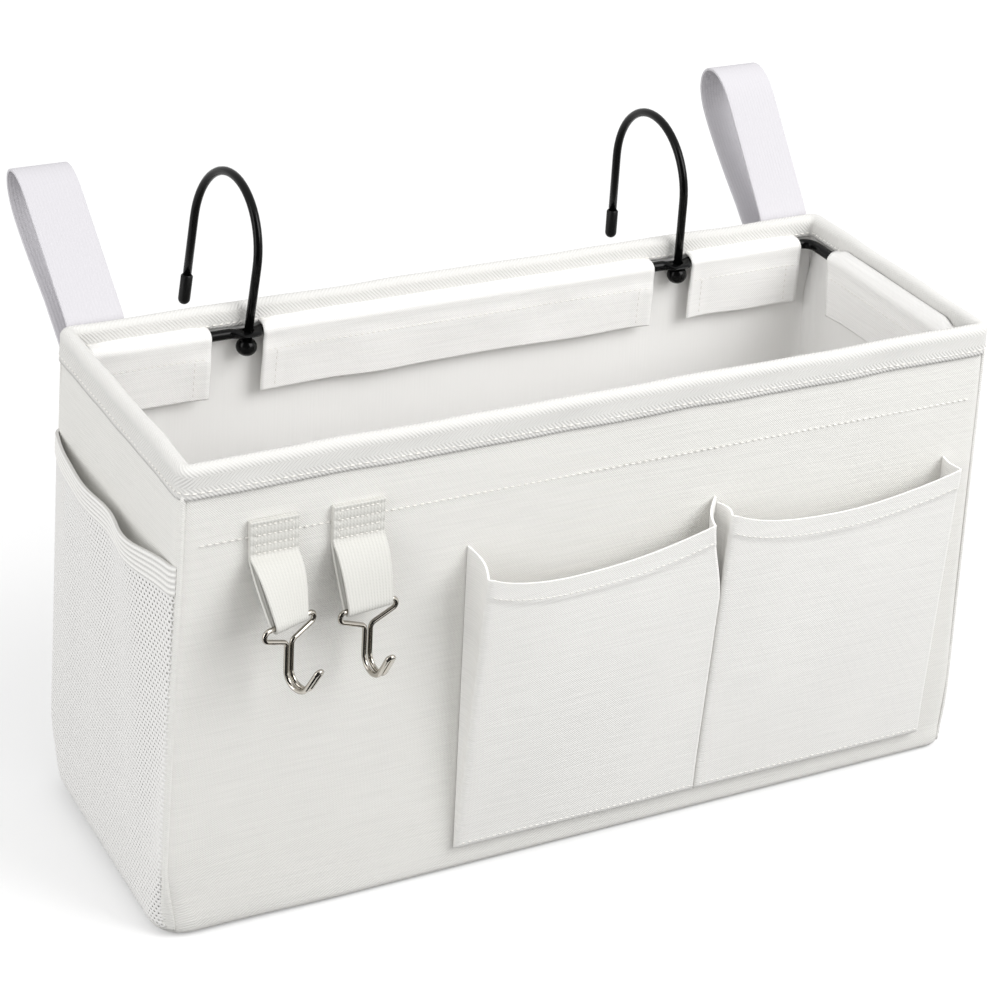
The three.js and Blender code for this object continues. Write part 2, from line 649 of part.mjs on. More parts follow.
// Accessory hook: from the middle of the bar out, down the hanger, shank and curl, round the tip and back
function accessoryHook() {
  const half = WIRE_SPACING / 2;
  const bar = (BAR_WIDTH - BAR_END_GAP) / 2 - BAR_CORNER;
  const corner = Math.PI - HANGER_SLOPE;
  const straighten = Math.PI / 2 - HANGER_SLOPE;
  const cornerX = BAR_WIDTH / 2 - BAR_CORNER + BAR_CORNER * Math.sin(HANGER_SLOPE);
  const bendX = HANGER_BEND * (1 - Math.sin(HANGER_SLOPE));
  const hanger = (cornerX - bendX - half) / Math.cos(HANGER_SLOPE);
  const down = Z.clone().negate();
  const front = Y.clone().negate();
  return new BentWire(new THREE.Vector3(-BAR_END_GAP / 2, 0, 0), X.clone().negate())
    .straight(bar)
    .bend(BAR_CORNER, corner, down, 6)
    .straight(hanger)
    .bend(HANGER_BEND, straighten, down, 4)
    .straight(SHANK)
    .bend(CURL_RADIUS, CURL_ANGLE, front, 9)
    .straight(CURL_LEG)
    .bend(half, Math.PI, X, 6)
    .straight(CURL_LEG)
    .bend(CURL_RADIUS, CURL_ANGLE, Y, 9)
    .straight(SHANK)
    .bend(HANGER_BEND, straighten, X, 4)
    .straight(hanger)
    .bend(BAR_CORNER, corner, Z, 6)
    .straight(bar)
    .tube(NICKEL_WIRE, 8);
}

for (const [side, tab] of Object.entries(TAB_SIDES)) {
  const near = -HALF_DEPTH - LAYER_GAP;
  const half = TAB_WIDTH / 2;
  const x = tab.inset - HALF_LENGTH;
  const top = TUB_HEIGHT - TAB_TOP;
  const twisted = (point, across) => tabPoint(tab, point, across);
  const loop = webbing(tabLoop(tab.lean), TAB, TAB_WIDTH, twisted);
  const bar = barCentre(tab.lean);
  const hanging = new THREE.Group();
  hanging.position.set(x, -HALF_DEPTH - bar.x, tabRootZ + bar.y);
  hanging.rotation.z = tab.twist;
  add(`tab_end_${side}`, block(x - half, x + half, near - tabPad, near, top - TAB_SEWN, top), TAB_WEBBING);
  add(`tab_loop_${side}`, loop, TAB_WEBBING);
  add(`accessory_hook_${side}`, accessoryHook(), NICKEL, hanging);
  caddy.add(hanging);
}

// Front pockets: a wedge of cloth with gussets at the sides, open at the top, its mouth hanging through

function wedge(xMin, xMax, back, toe, mouth, zMin, zMax) {
  const profile = new THREE.Shape();
  profile.moveTo(back, zMin);
  profile.lineTo(toe, zMin);
  profile.lineTo(mouth, zMax);
  profile.lineTo(back, zMax);
  const origin = new THREE.Vector3((xMin + xMax) / 2, -HALF_DEPTH, 0);
  return solid(alongWall(profile, Y.clone().negate(), xMax - xMin, origin));
}

function frontPocket(xMin) {
  const xMax = xMin + POCKET_WIDTH;
  const middle = (xMin + xMax) / 2;
  const mouth = POCKET_FOOT + POCKET_HEIGHT;
  const slope = (POCKET_MOUTH - POCKET_TOE) / POCKET_HEIGHT;
  const toe = LAYER_GAP + POCKET_TOE;
  const rise = POCKET_HEIGHT + POCKET_SAG;
  const outer = wedge(xMin, xMax, LAYER_GAP, toe, toe + slope * POCKET_HEIGHT, POCKET_FOOT, mouth);
  const inner = wedge(
    xMin + POCKET_CLOTH,
    xMax - POCKET_CLOTH,
    -CANVAS,
    toe - POCKET_CLOTH + slope * POCKET_CLOTH,
    toe - POCKET_CLOTH + slope * rise,
    POCKET_FOOT + POCKET_CLOTH,
    POCKET_FOOT + rise,
  );
  const hanging = new THREE.Shape();
  hanging.moveTo(middle + POCKET_WIDTH, mouth + POCKET_SAG);
  hanging.lineTo(middle - POCKET_WIDTH, mouth + POCKET_SAG);
  hanging.lineTo(xMin, mouth);
  hanging.quadraticCurveTo(middle, mouth - 2 * POCKET_SAG, xMax, mouth);
  const reach = 2 * (POCKET_MOUTH + CANVAS);
  const cut = new THREE.ExtrudeGeometry(hanging, { depth: reach, bevelEnabled: false, curveSegments: 10 });
  cut.rotateX(Math.PI / 2).translate(0, -HALF_DEPTH - LAYER_GAP - POCKET_CLOTH, 0);
  return geometryOf(outer.subtract(inner).subtract(solid(cut)));
}

const pocketEnd = HALF_LENGTH - POCKET_END_GAP - POCKET_WIDTH;
add("front_pocket_left", flare(frontPocket(pocketEnd - POCKET_SEAM - POCKET_WIDTH)), CANVAS_CLOTH);
add("front_pocket_right", flare(frontPocket(pocketEnd)), CANVAS_CLOTH);

// Mesh pockets: held along the upright edges, bowed out more towards the mouth, with elastic on top

const meshHalf = HALF_DEPTH - EDGE_RADIUS;

function meshFace(side, y, z) {
  const share = THREE.MathUtils.clamp((z - MESH_FOOT) / MESH_HEIGHT, 0, 1);
  const bow = MESH_BOW * (1 - (y / meshHalf) ** 2) * share ** 1.5;
  return new THREE.Vector3(side * ((HALF_LENGTH + LAYER_GAP) * flareAt(z) + bow), y, z);
}

function endSheet(side, zMin, zMax, thickness, rows) {
  const inner = (u, v) => meshFace(side, side * meshHalf * (2 * u - 1), zMin + (zMax - zMin) * v);
  const outer = (u, v) => inner(u, v).addScaledVector(X, side * thickness);
  return sheet(inner, outer, 14, rows);
}

for (const [name, side] of Object.entries(SIDES)) {
  const mouth = MESH_FOOT + MESH_HEIGHT;
  const band = mouth + LAYER_GAP;
  add(`side_mesh_${name}`, endSheet(side, MESH_FOOT, mouth, MESH, 8), NET);
  add(`side_elastic_${name}`, endSheet(side, band, band + ELASTIC_HEIGHT, ELASTIC, 1), ELASTIC_TAPE);
}

export default caddy;
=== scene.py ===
import math

import bpy
import numpy as np
from mathutils import Matrix, Vector


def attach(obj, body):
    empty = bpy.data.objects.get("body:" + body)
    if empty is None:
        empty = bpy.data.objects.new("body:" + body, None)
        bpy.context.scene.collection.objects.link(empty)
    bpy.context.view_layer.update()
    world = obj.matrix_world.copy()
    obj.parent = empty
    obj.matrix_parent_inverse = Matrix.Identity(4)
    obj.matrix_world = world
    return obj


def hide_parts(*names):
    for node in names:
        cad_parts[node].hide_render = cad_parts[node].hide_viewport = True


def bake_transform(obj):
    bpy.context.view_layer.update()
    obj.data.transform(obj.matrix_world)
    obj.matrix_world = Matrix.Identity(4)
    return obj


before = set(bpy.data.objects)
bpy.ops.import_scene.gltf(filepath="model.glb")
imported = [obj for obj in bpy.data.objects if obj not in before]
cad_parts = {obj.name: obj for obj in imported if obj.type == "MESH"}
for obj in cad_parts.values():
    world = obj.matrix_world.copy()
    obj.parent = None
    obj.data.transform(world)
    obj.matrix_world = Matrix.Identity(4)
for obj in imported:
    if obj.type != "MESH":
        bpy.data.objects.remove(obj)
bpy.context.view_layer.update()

# Looks of a bedside caddy: cloth, webbing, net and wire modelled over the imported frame.
# Metres, +Z up, the front faces -Y, the origin is on the floor at the middle of the base.
bl_info = {
    "name": "Bedside caddy",
    "version": (1, 0, 0),
    "blender": (4, 5, 0),
    "location": "View3D > Sidebar > Caddy",
    "description": "Models a canvas caddy with wire hooks over its packed frame",
    "category": "Add Mesh",
}

MM = 0.001
SIDES = {"left": -1, "right": 1}
WALLS = ("front", "back", "left", "right")
UP = np.array([0.0, 0.0, 1.0])

# Upright edges, and the left end, which is drawn in at the floor
FOOT_SHARES = (1, 0.7, 0.35, 0.7)  # of the largest radius: back left, front left, front right, back right
LEAST_EDGE = 1.5 * MM  # no layer turns an edge more sharply than this
EDGE_SPAN = 24 * MM  # an edge gets as many columns of cloth as this much wall
TOE_FRONT = 0.2  # share of the drawing in that is left at the front edge
TOE_GROWS = (0.25, 1)  # shares of the back wall's left half over which it grows
TOE_FADES = (0.19, 0.025)  # shares of the front wall between which it fades out

# Cloth, stitches and wires
RIPPLES = ((1.3, 0.7, 0.4), (-0.9, 1.7, 1.9), (2.3, 0.4, 4.1))  # waves along and across, and their shift
CALM_REACH = 60 * MM  # unevenness dies away this near to the seam at the middle of the back
RING_POINTS = 900
ELASTIC_RIBS = 5
STITCH_SHARE = 0.72  # length of a stitch, as a share of the pitch
BEND_STEP = math.radians(6)  # a bent wire has a point for so much of its bend
SAME_PLACE = 0.002 * MM  # points that lie closer together are one
CREASE = math.radians(50)  # edges that turn more than this stay sharp
SOFT_CREASE = math.radians(60)  # the same on pockets and elastic
FORGED_CREASE = math.radians(40)  # the same on the forged rod


def linear(code):
    """Linear colour of an sRGB hex code."""
    shares = [int(code[i:i + 2], 16) / 255 for i in (0, 2, 4)]
    return [s / 12.92 if s <= 0.04045 else ((s + 0.055) / 1.055) ** 2.4 for s in shares]


def size(name, description, millimetres):
    """Length that can be changed."""
    return bpy.props.FloatProperty(
        name=name, description=description, default=millimetres * MM, precision=5, unit="LENGTH")


def angle(name, description, degrees):
    """Angle that can be changed."""
    return bpy.props.FloatProperty(
        name=name, description=description, default=math.radians(degrees), subtype="ANGLE")


def colour(name, description, code):
    """Colour that can be changed, given as an sRGB hex code."""
    return bpy.props.FloatVectorProperty(
        name=name, description=description, default=linear(code), size=3, min=0, max=1, subtype="COLOR")


class TubSizes(bpy.types.PropertyGroup):
    """Canvas tub and what is sewn into its rim"""
    length: size("Length", "Over the canvas at the rim", 384)
    depth: size("Depth", "Over the canvas", 141)
    height: size("Height", "Top of the walls over the floor", 224)
    flare: size("Flare", "How much further out each end stands at the floor than at the rim", 10)
    edge: size("Upright edges", "Radius at the rim", 5)
    foot_edge: size("Upright edges at the floor", "Largest radius, where the canvas is pulled round", 22)
    foot_height: size("Rounding height", "Height over which the upright edges grow rounder", 40)
    base_edge: size("Lower edges", "Radius between walls and base", 5)
    toe: size("Left lower edge", "Radius by which the left end is drawn in at the floor, at its back", 13)
    canvas: size("Canvas", "Thickness of the outer canvas", 1)
    board: size("Board", "Thickness of the stiff boards", 2)
    lining: size("Lining", "Thickness of the lining", 0.6)
    gap: size("Layer gap", "Air between sewn layers", 0.3)
    slack: size("Slack", "How far the canvas lifts off its boards", 0.45)
    pucker: size("Pucker", "Depth of the folds in the corners of the lining", 4.8)
    tape: size("Tape", "Thickness of the binding tape", 1)
    tape_outer: size("Tape outside", "Height of the tape outside", 12.5)
    tape_inner: size("Tape inside", "Height of the tape inside", 8.6)
    casing: size("Casing cloth", "Thickness of the cloth round the rod", 0.8)
    casing_drop: size("Casing drop", "Lower edge of the casings below the rod", 29)
    casing_gap: size("Bare rod", "Rod left bare on each end wall, from the back bend to the casing", 14)
    notch_left: size("Notch, left", "Gap in the casings to the left of each hook", 18)
    notch_right: size("Notch, right", "Gap in the casings to the right of each hook", 6.6)


class WireSizes(bpy.types.PropertyGroup):
    """Wire frame, rail hooks and accessory hooks"""
    rod: size("Rod", "Diameter of the frame rod", 4.8)
    rod_drop: size("Rod drop", "Rod below the top of the walls", 10.5)
    rod_off: size("Rod offset", "Rod from the lining", 5.4)
    rod_tuck: size("Rod tuck", "How much nearer to the wall the rod runs than its eyes", 1.6)
    rod_bend: size("Rod bends", "Radius of the corners of the frame", 6)
    eye_length: size("Eye length", "Length of the flattened eyes", 16)
    eye_depth: size("Eye depth", "Depth of the flattened eyes", 10)
    eye_thickness: size("Eye thickness", "Thickness of the flattened eyes", 2.6)
    eye_bore: size("Eye bore", "Diameter of the hole in each eye", 5.2)
    hook: size("Rail hook wire", "Diameter of the rail hook wire", 4)
    spread: size("Hook spread", "Distance between the rail hooks", 218)
    rise: size("Hook rise", "Eye to the start of the bend", 31.5)
    bend: size("Hook bend", "Radius of the bend of the rail hooks", 31.5)
    leg: size("Hook leg", "Straight wire after the bend", 33)
    head: size("Hook head", "Diameter of the head under each eye", 9.5)
    tip: size("Hook tip", "Diameter of the soft tips", 5.6)
    lean: angle("Left hook lean", "The left hook leans towards the middle", 7)
    yaw: angle("Left hook turn", "The left hook is turned in its eye", 3.5)
    drop: size("Left hook drop", "How far the left hook has slipped down its eye", 1.6)
    nickel: size("Accessory wire", "Diameter of the accessory hook wire", 2.2)
    bar: size("Bar", "Width of an accessory hook at its bar", 27)
    shank: size("Shank", "Length of the doubled shank", 11)
    curl: size("Curl", "Radius of the curl of an accessory hook", 6.5)


class WebbingSizes(bpy.types.PropertyGroup):
    """Strap loops at the back and tabs on the front"""
    strap_width: size("Strap width", "Width of the strap webbing", 26)
    strap: size("Strap", "Thickness of the strap webbing", 1.4)
    strap_x: size("Strap place", "Middle of each strap from the middle of the tub", 175)
    strap_root: size("Strap root", "Sewn edge below the top of the walls", 22)
    strap_sewn: size("Strap end", "Height of the sewn-down part", 18)
    strap_run: size("Strap run", "Straight part of a loop above the rim", 60)
    strap_loop: size("Strap loop", "Depth of a strap loop", 25)
    left_lean: angle("Left strap lean", "The left strap leans back", 45)
    right_lean: angle("Right strap lean", "The right strap leans back", 34)
    tab_width: size("Tab width", "Width of the tab webbing", 23)
    tab: size("Tab", "Thickness of the tab webbing", 1.3)
    tab_root: size("Tab root", "Lower edge of the sewn-down part over the floor", 181)
    tab_sewn: size("Tab end", "Height of the sewn-down part", 16.5)
    tab_length: size("Tab length", "Sewn edge to the bar of the hook", 28)
    left_tab: size("Left tab", "Middle of the left tab", -154)
    right_tab: size("Right tab", "Middle of the right tab", -117)


class PocketSizes(bpy.types.PropertyGroup):
    """Front pockets and end pockets"""
    left: size("Left pocket", "Left edge of the left pocket", -65)
    right: size("Right pocket", "Left edge of the right pocket", 55)
    width: size("Width", "Width of a front pocket", 119)
    foot: size("Foot", "Lower edge over the floor", 14)
    height: size("Height", "Lower edge to mouth", 149)
    toe: size("Toe", "Stand-off at the lower edge", 3.3)
    mouth: size("Mouth", "Stand-off at the mouth", 14.8)
    sag: size("Sag", "The mouth hangs through in the middle", 9)
    hem: size("Hem", "Height of the turned-over hem", 10)
    cloth: size("Cloth", "Thickness of the pocket canvas", 1)
    slant: size("Slant", "The left pocket's lower corner is drawn in", 3.5)
    gape: size("Gape", "How much further the left pocket's mouth stands off at its left", 6.5)
    drop: size("Drop", "The left pocket's mouth hangs lower in front than at the panel", 3)
    pull: size("Pull", "The left pocket's mouth is drawn in at its right", 7.5)
    net_foot: size("Net foot", "Lower edge of the end pockets over the floor", 6)
    net_height: size("Net height", "Height of the net", 162)
    net_bow: size("Net bow", "Stand-off of the net at its mouth", 7)
    net_cell: size("Net mesh", "Pitch of the meshes", 2.3)
    net_thread: size("Net thread", "Thickness of the net", 0.4)
    elastic: size("Elastic", "Thickness of the elastic", 1.3)
    elastic_height: size("Elastic height", "Height of the elastic", 10.3)


class Colours(bpy.types.PropertyGroup):
    """Colours of the cloths, wires and boards"""
    canvas: colour("Canvas", "Unbleached-white cotton canvas", "eae9e5")
    pocket: colour("Pockets", "Lighter cotton canvas of the front pockets", "f1f0ed")
    # Casings are written lighter than the canvas: painted light on casings that hang in the shade of their
    # rolls.
    casing: colour("Casings", "Bleached cotton canvas round the rod", "f6f5f3")
    lining: colour("Lining", "Smooth white lining", "eeedeb")
    tape: colour("Binding", "White herringbone tape", "dddcd9")
    # Straps and tabs are written darker than the white webbing they are: painted shade that evens out the
    # extra light they catch as they lean up into the lamps.
    strap: colour("Straps", "Cool white webbing", "cccace")
    tab: colour("Tabs", "Warm white webbing", "d3d2cd")
    net: colour("Net", "White net", "e9e8e6")
    elastic: colour("Elastic", "White elastic", "eae9e6")
    thread: colour("Thread", "White sewing thread", "e7e5e0")
    wire: colour("Black wire", "Black coating of frame and rail hooks", "080808")
    rubber: colour("Tips", "Black rubber of the hook tips", "080808")
    nickel: colour("Nickel", "Plating of the accessory hooks", "b9b4ab")
    board: colour("Board", "Grey board in the walls", "b9b3a6")


class StageSizes(bpy.types.PropertyGroup):
    """Camera of the photograph"""
    azimuth: angle("Azimuth", "Turn of the camera from straight in front", -29.06)
    elevation: angle("Elevation", "Height of the camera", 27.83)
    roll: angle("Roll", "Turn of the camera about its own axis", 3.55)
    distance: size("Distance", "Camera to the middle of the tub", 1256.6)
    aside: size("Aside", "Picture middle to the right of the tub's middle", -9.24)
    above: size("Above", "Picture middle above the tub's middle", 23.87)
    lens: bpy.props.FloatProperty(
        name="Lens", description="Focal length on a 36 mm wide picture", default=99.61, unit="CAMERA")


class Caddy(bpy.types.PropertyGroup):
    """Everything about the caddy that can be changed"""
    tub: bpy.props.PointerProperty(name="Tub", description="Sizes of the tub", type=TubSizes)
    wire: bpy.props.PointerProperty(name="Wire", description="Sizes of the wires", type=WireSizes)
    webbing: bpy.props.PointerProperty(name="Webbing", description="Sizes of the webbing", type=WebbingSizes)
    pocket: bpy.props.PointerProperty(name="Pockets", description="Sizes of the pockets", type=PocketSizes)
    colours: bpy.props.PointerProperty(name="Colours", description="Colours", type=Colours)
    stage: bpy.props.PointerProperty(name="Stage", description="Camera", type=StageSizes)


def caddy():
    """Sizes and colours in use."""
    return bpy.context.scene.caddy


# Shapes

def smoothstep(low, high, value):
    """Share that eases from 0 at one value to 1 at another."""
    share = np.clip((value - low) / (high - low), 0, 1)
    return share * share * (3 - 2 * share)


def ripple(a, b, scale):
    """Uneven surface between -1 and 1, the same every run."""
    a, b = a / scale, b / scale
    return sum(np.sin(p * a + q * b + shift) for p, q, shift in RIPPLES) / len(RIPPLES)


def distances(line):
    """Distance of each point of a line from its start."""
    return np.r_[0, np.cumsum(np.linalg.norm(np.diff(line, axis=0), axis=1))]


def smooth_line(points, step, reach):
    """Evenly spaced points along a line whose corners are eased over a reach."""
    points = np.array(points, dtype=float)
    run = distances(points)
    count = max(int(run[-1] / step), 8)
    even = np.linspace(0, run[-1], count + 1)
    line = np.stack([np.interp(even, run, column) for column in points.T], 1)
    near = np.minimum(even, even[-1] - even)[:, None]
    spread = np.maximum(np.minimum(reach, near / 2), 1e-9)
    weight = np.exp(-0.5 * ((even[:, None] - even[None, :]) / spread) ** 2)
    return (weight @ line) / weight.sum(1, keepdims=True)


def bezier(a, b, c, d, count=24):
    """Points along a curve from its first to its last control point."""
    t = np.linspace(0, 1, count)[:, None]
    a, b, c, d = (np.array(p) for p in (a, b, c, d))
    return a * (1 - t) ** 3 + 3 * b * t * (1 - t) ** 2 + 3 * c * t ** 2 * (1 - t) + d * t ** 3


def bent(start, heading, *moves):
    """Route of a wire shaped on a bender: straight lengths, and bends of radius, angle and direction."""
    at, way = Vector(start), Vector(heading)
    route = [at.copy()]
    for move in moves:
        if isinstance(move, float):
            at = at + way * move
            route.append(at.copy())
            continue
        radius, turn, towards = move
        inward = (Vector(towards) - way * way.dot(Vector(towards))).normalized()
        axis = way.cross(inward)
        centre = at + inward * radius
        count = max(6, round(turn / BEND_STEP))
        for i in range(1, count + 1):
            route.append(centre - Matrix.Rotation(turn * i / count, 3, axis) @ inward * radius)
        at = route[-1].copy()
        way = Matrix.Rotation(turn, 3, axis) @ way
    return np.array(route)


def flare_at(z):
    """The end walls lean out towards the floor, so lengths grow as they go down."""
    tub = caddy().tub
    return 1 + tub.flare / (tub.length / 2) * (1 - z / tub.height)


def edge_radii(z):
    """Radii of the upright edges, which grow rounder towards the floor."""
    tub = caddy().tub
    grown = smoothstep(tub.foot_height, 0, z)
    return [tub.edge + (tub.foot_edge * share - tub.edge) * grown for share in FOOT_SHARES]


def drawn_in(z):
    """How far the rounded lower edge of the left end is drawn in at a height."""
    toe = caddy().tub.toe
    return toe - np.sqrt(toe ** 2 - np.clip(toe - z, 0, toe) ** 2)


def rim_stops(edge, as_shares=True):
    """Where walls and edges follow each other round the rim, an edge counting as so long."""
    tub = caddy().tub
    long, wide = tub.length / 2, tub.depth / 2
    stops = np.r_[0, np.cumsum([long, edge, 2 * wide, edge, 2 * long, edge, 2 * wide, edge, long])]
    return stops / stops[-1] if as_shares else stops


def calm(run):
    """Share that dies away at the middle of the back, where a way round the rim begins and ends."""
    return smoothstep(0, CALM_REACH, np.minimum(run, run.max() - run))


def around(share, inset, z):
    """Points on an outline inset from the canvas, their outward directions and their run along the rim.

    The share goes from 0 to 1, anticlockwise from the middle of the back.
    """
    tub = caddy().tub
    long, wide = tub.length / 2, tub.depth / 2
    stops = rim_stops(EDGE_SPAN)
    leg = np.clip(np.searchsorted(stops, share, side="right") - 1, 0, 8)
    part = (share - stops[leg]) / (stops[leg + 1] - stops[leg])
    growing, fading = smoothstep(*TOE_GROWS, part), TOE_FRONT * smoothstep(*TOE_FADES, part)
    leftness = np.choose(leg, [growing, 1, 1 + (TOE_FRONT - 1) * part, TOE_FRONT, fading, 0, 0, 0, 0])
    inset = inset + drawn_in(z) * leftness * np.clip(1 - inset / wide, 0, 1)
    r = [np.minimum(np.maximum(radius - inset, LEAST_EDGE), wide - inset) for radius in edge_radii(z)]
    x, y = [long - inset - radius for radius in r], [wide - inset - radius for radius in r]
    quarter = 90 * part
    facing = np.radians(np.choose(leg, [
        90, 90 + quarter, 180, 180 + quarter, 270, 270 + quarter, 0, quarter, 90]))

    def along(start, stop):
        return start + (stop - start) * part

    radius = np.choose(leg, [
        r[0], r[0], along(r[0], r[1]), r[1], along(r[1], r[2]), r[2], along(r[2], r[3]), r[3], r[3]])
    middle_x = np.choose(leg, [
        -x[0] * part, -x[0], along(-x[0], -x[1]), -x[1], along(-x[1], x[2]), x[2], along(x[2], x[3]), x[3],
        x[3] * (1 - part)])
    middle_y = np.choose(leg, [
        y[0], y[0], along(y[0], -y[1]), -y[1], along(-y[1], -y[2]), -y[2], along(-y[2], y[3]), y[3], y[3]])
    out = np.stack([np.cos(facing), np.sin(facing), 0 * facing], 1)
    points = np.stack([middle_x, middle_y, z], 1) + radius[:, None] * out
    points[:, 0] *= flare_at(z)
    true = rim_stops(tub.edge * math.pi / 2, False)
    return points, out, np.interp(share, stops, true)


def ring(inset, z):
    """Line round the tub at one inset and height, and its outward directions."""
    share = np.linspace(0, 1, RING_POINTS)
    return around(share, np.full(RING_POINTS, inset), np.full(RING_POINTS, z))[:2]


# Pieces

def alone(piece):
    """Makes a piece the only selected one, and the active one."""
    bpy.ops.object.select_all(action="DESELECT")
    piece.select_set(True)
    bpy.context.view_layer.objects.active = piece
    return piece


def merged(piece):
    """Closes seams where points of a piece fall together."""
    alone(piece)
    bpy.ops.object.mode_set(mode="EDIT")
    bpy.ops.mesh.select_all(action="SELECT")
    bpy.ops.mesh.remove_doubles(threshold=SAME_PLACE)
    bpy.ops.object.mode_set(mode="OBJECT")
    bpy.ops.object.shade_smooth()
    return piece


def applied(piece, kind, **settings):
    """Adds a modifier with its settings to a piece and applies it."""
    alone(piece)
    modifier = piece.modifiers.new(kind.title(), kind)
    for setting, value in settings.items():
        setattr(modifier, setting, value)
    bpy.ops.object.modifier_apply(modifier=modifier.name)
    return piece


def meshed(name, points, edges, faces):
    """Piece made of given points, edges and faces."""
    bpy.ops.object.select_all(action="DESELECT")
    bpy.ops.mesh.primitive_plane_add(size=1)
    piece = bpy.context.object
    piece.name = piece.data.name = name
    piece.data.clear_geometry()
    piece.data.from_pydata(points, edges, faces)
    return alone(piece)


def cloth(name, columns, rows, place):
    """Grid of cloth: place gives points, and places on the flat cloth, from shares across and along."""
    bpy.ops.object.select_all(action="DESELECT")
    bpy.ops.mesh.primitive_grid_add(x_subdivisions=columns, y_subdivisions=rows, size=1)
    piece = bpy.context.object
    piece.name = piece.data.name = name
    mesh = piece.data
    shares = np.empty(3 * len(mesh.vertices), dtype=np.float32)
    mesh.vertices.foreach_get("co", shares)
    shares = shares.reshape(-1, 3).astype(float) + 0.5
    points, flat = place(shares[:, 0], shares[:, 1])
    mesh.vertices.foreach_set("co", points.astype(np.float32).ravel())
    corners = np.empty(len(mesh.loops), dtype=np.int32)
    mesh.loops.foreach_get("vertex_index", corners)
    mesh.uv_layers.active.data.foreach_set("uv", flat[corners].astype(np.float32).ravel())
    mesh.update()
    return merged(piece)


def wire(name, route, diameter, cyclic=False):
    """Round wire along a route."""
    bpy.ops.object.select_all(action="DESELECT")
    bpy.ops.curve.primitive_nurbs_path_add()
    piece = bpy.context.object
    piece.name = name
    curve = piece.data
    curve.splines.clear()
    line = curve.splines.new("POLY")
    line.points.add(len(route) - 1)
    line.points.foreach_set("co", np.c_[route, np.ones(len(route))].astype(np.float32).ravel())
    line.use_cyclic_u = cyclic
    curve.bevel_depth = diameter / 2
    curve.bevel_resolution = 5
    curve.use_fill_caps = not cyclic
    bpy.ops.object.convert(target="MESH")
    piece.data.name = name
    return merged(piece)


def turned(name, profile):
    """Round piece about the Z axis: the profile gives radius and height, from axis to axis."""
    points = [(radius, 0, z) for radius, z in profile[:-1]] + [(0, 0, profile[-1][1])]
    piece = meshed(name, points, [(i, i + 1) for i in range(len(points) - 1)], [])
    bpy.ops.object.mode_set(mode="EDIT")
    bpy.ops.mesh.select_all(action="SELECT")
    bpy.ops.mesh.spin(steps=32, angle=math.tau, center=(0, 0, 0), axis=(0, 0, 1))
    bpy.ops.mesh.select_all(action="SELECT")
    bpy.ops.mesh.remove_doubles(threshold=SAME_PLACE)
    bpy.ops.mesh.normals_make_consistent(inside=False)
    bpy.ops.object.mode_set(mode="OBJECT")
    bpy.ops.object.shade_smooth_by_angle(angle=CREASE)
    return piece


def ribbon(name, line, width, thickness, place, across=12):
    """Webbing that follows a line drawn in profile; place puts its points into space."""
    run = distances(line)
    rows = len(line) - 1

    def spread(u, v):
        row = np.rint(v * rows).astype(int)
        return place(line[row], (u - 0.5) * width), np.stack([u * width, run[row]], 1)

    piece = cloth(name, across, rows, spread)
    applied(piece, "SOLIDIFY", thickness=thickness, offset=0)
    applied(piece, "BEVEL", width=0.3 * thickness, segments=2, limit_method="ANGLE")
    bpy.ops.object.shade_smooth_by_angle(angle=CREASE)
    return piece


def sew(name, routes, pitch=3.2 * MM, thread=0.75 * MM):
    """Rows of stitches: each route is a line of points and the direction its stitches stand out."""
    bpy.ops.object.select_all(action="DESELECT")
    bpy.ops.mesh.primitive_uv_sphere_add(segments=6, ring_count=4, radius=0.5)
    piece = bpy.context.object
    piece.name = piece.data.name = name
    mesh = piece.data
    shape = np.array([v.co for v in mesh.vertices])
    sides = [list(p.vertices) for p in mesh.polygons]
    points, faces = [], []
    for line, out in routes:
        run = distances(line)
        count = max(int(run[-1] / pitch), 1)
        middles = (np.arange(count) + 0.5) * run[-1] / count

        def at(places, values):
            return np.stack([np.interp(places, run, column) for column in values.T], 1)

        middle = at(middles, line)
        ahead = at(middles + pitch / 4, line) - at(middles - pitch / 4, line)
        ahead /= np.linalg.norm(ahead, axis=1, keepdims=True)
        stand = at(middles, np.broadcast_to(out, line.shape))
        aside = np.cross(stand, ahead)
        for i in range(count):
            faces += [[corner + len(points) * len(shape) for corner in side] for side in sides]
            axes = np.array([ahead[i] * pitch * STITCH_SHARE, aside[i] * thread, stand[i] * thread])
            points.append(middle[i] + shape @ axes)
    mesh.clear_geometry()
    mesh.from_pydata(np.concatenate(points).tolist(), [], faces)
    mesh.update()
    alone(piece)
    bpy.ops.object.shade_smooth()
    return dress(piece, thread_finish(), "tub", "canvas")


def dress(piece, material, body, slot, *nodes):
    """Gives a piece its material, its place among the moving bodies and the nodes it stands for."""
    piece.data.materials.clear()
    piece.data.materials.append(material)
    if nodes:
        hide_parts(*nodes)
    if body:
        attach(piece, body)
    return piece


# Materials

def node(material, kind, inputs=(), **settings):
    """Adds a node with settings by name, and inputs by name or place: values, or outputs of other nodes."""
    tree = material.node_tree
    made = tree.nodes.new(kind)
    for setting, value in settings.items():
        setattr(made, setting, value)
    for socket, value in dict(inputs).items():
        if isinstance(value, bpy.types.NodeSocket):
            tree.links.new(value, made.inputs[socket])
        else:
            made.inputs[socket].default_value = value
    return made.outputs[0] if made.outputs else made


def reckon(material, operation, *terms):
    """Number worked out from terms, each a value or the output of another node."""
    return node(material, "ShaderNodeMath", dict(enumerate(terms)), operation=operation)


def mixed(material, share, first, second):
    """Colour between two others; the colours of a mix are its sockets 6 and 7."""
    sockets = {0: share, 6: (*first, 1), 7: (*second, 1)}
    return node(material, "ShaderNodeMix", sockets, data_type="RGBA").node.outputs[2]


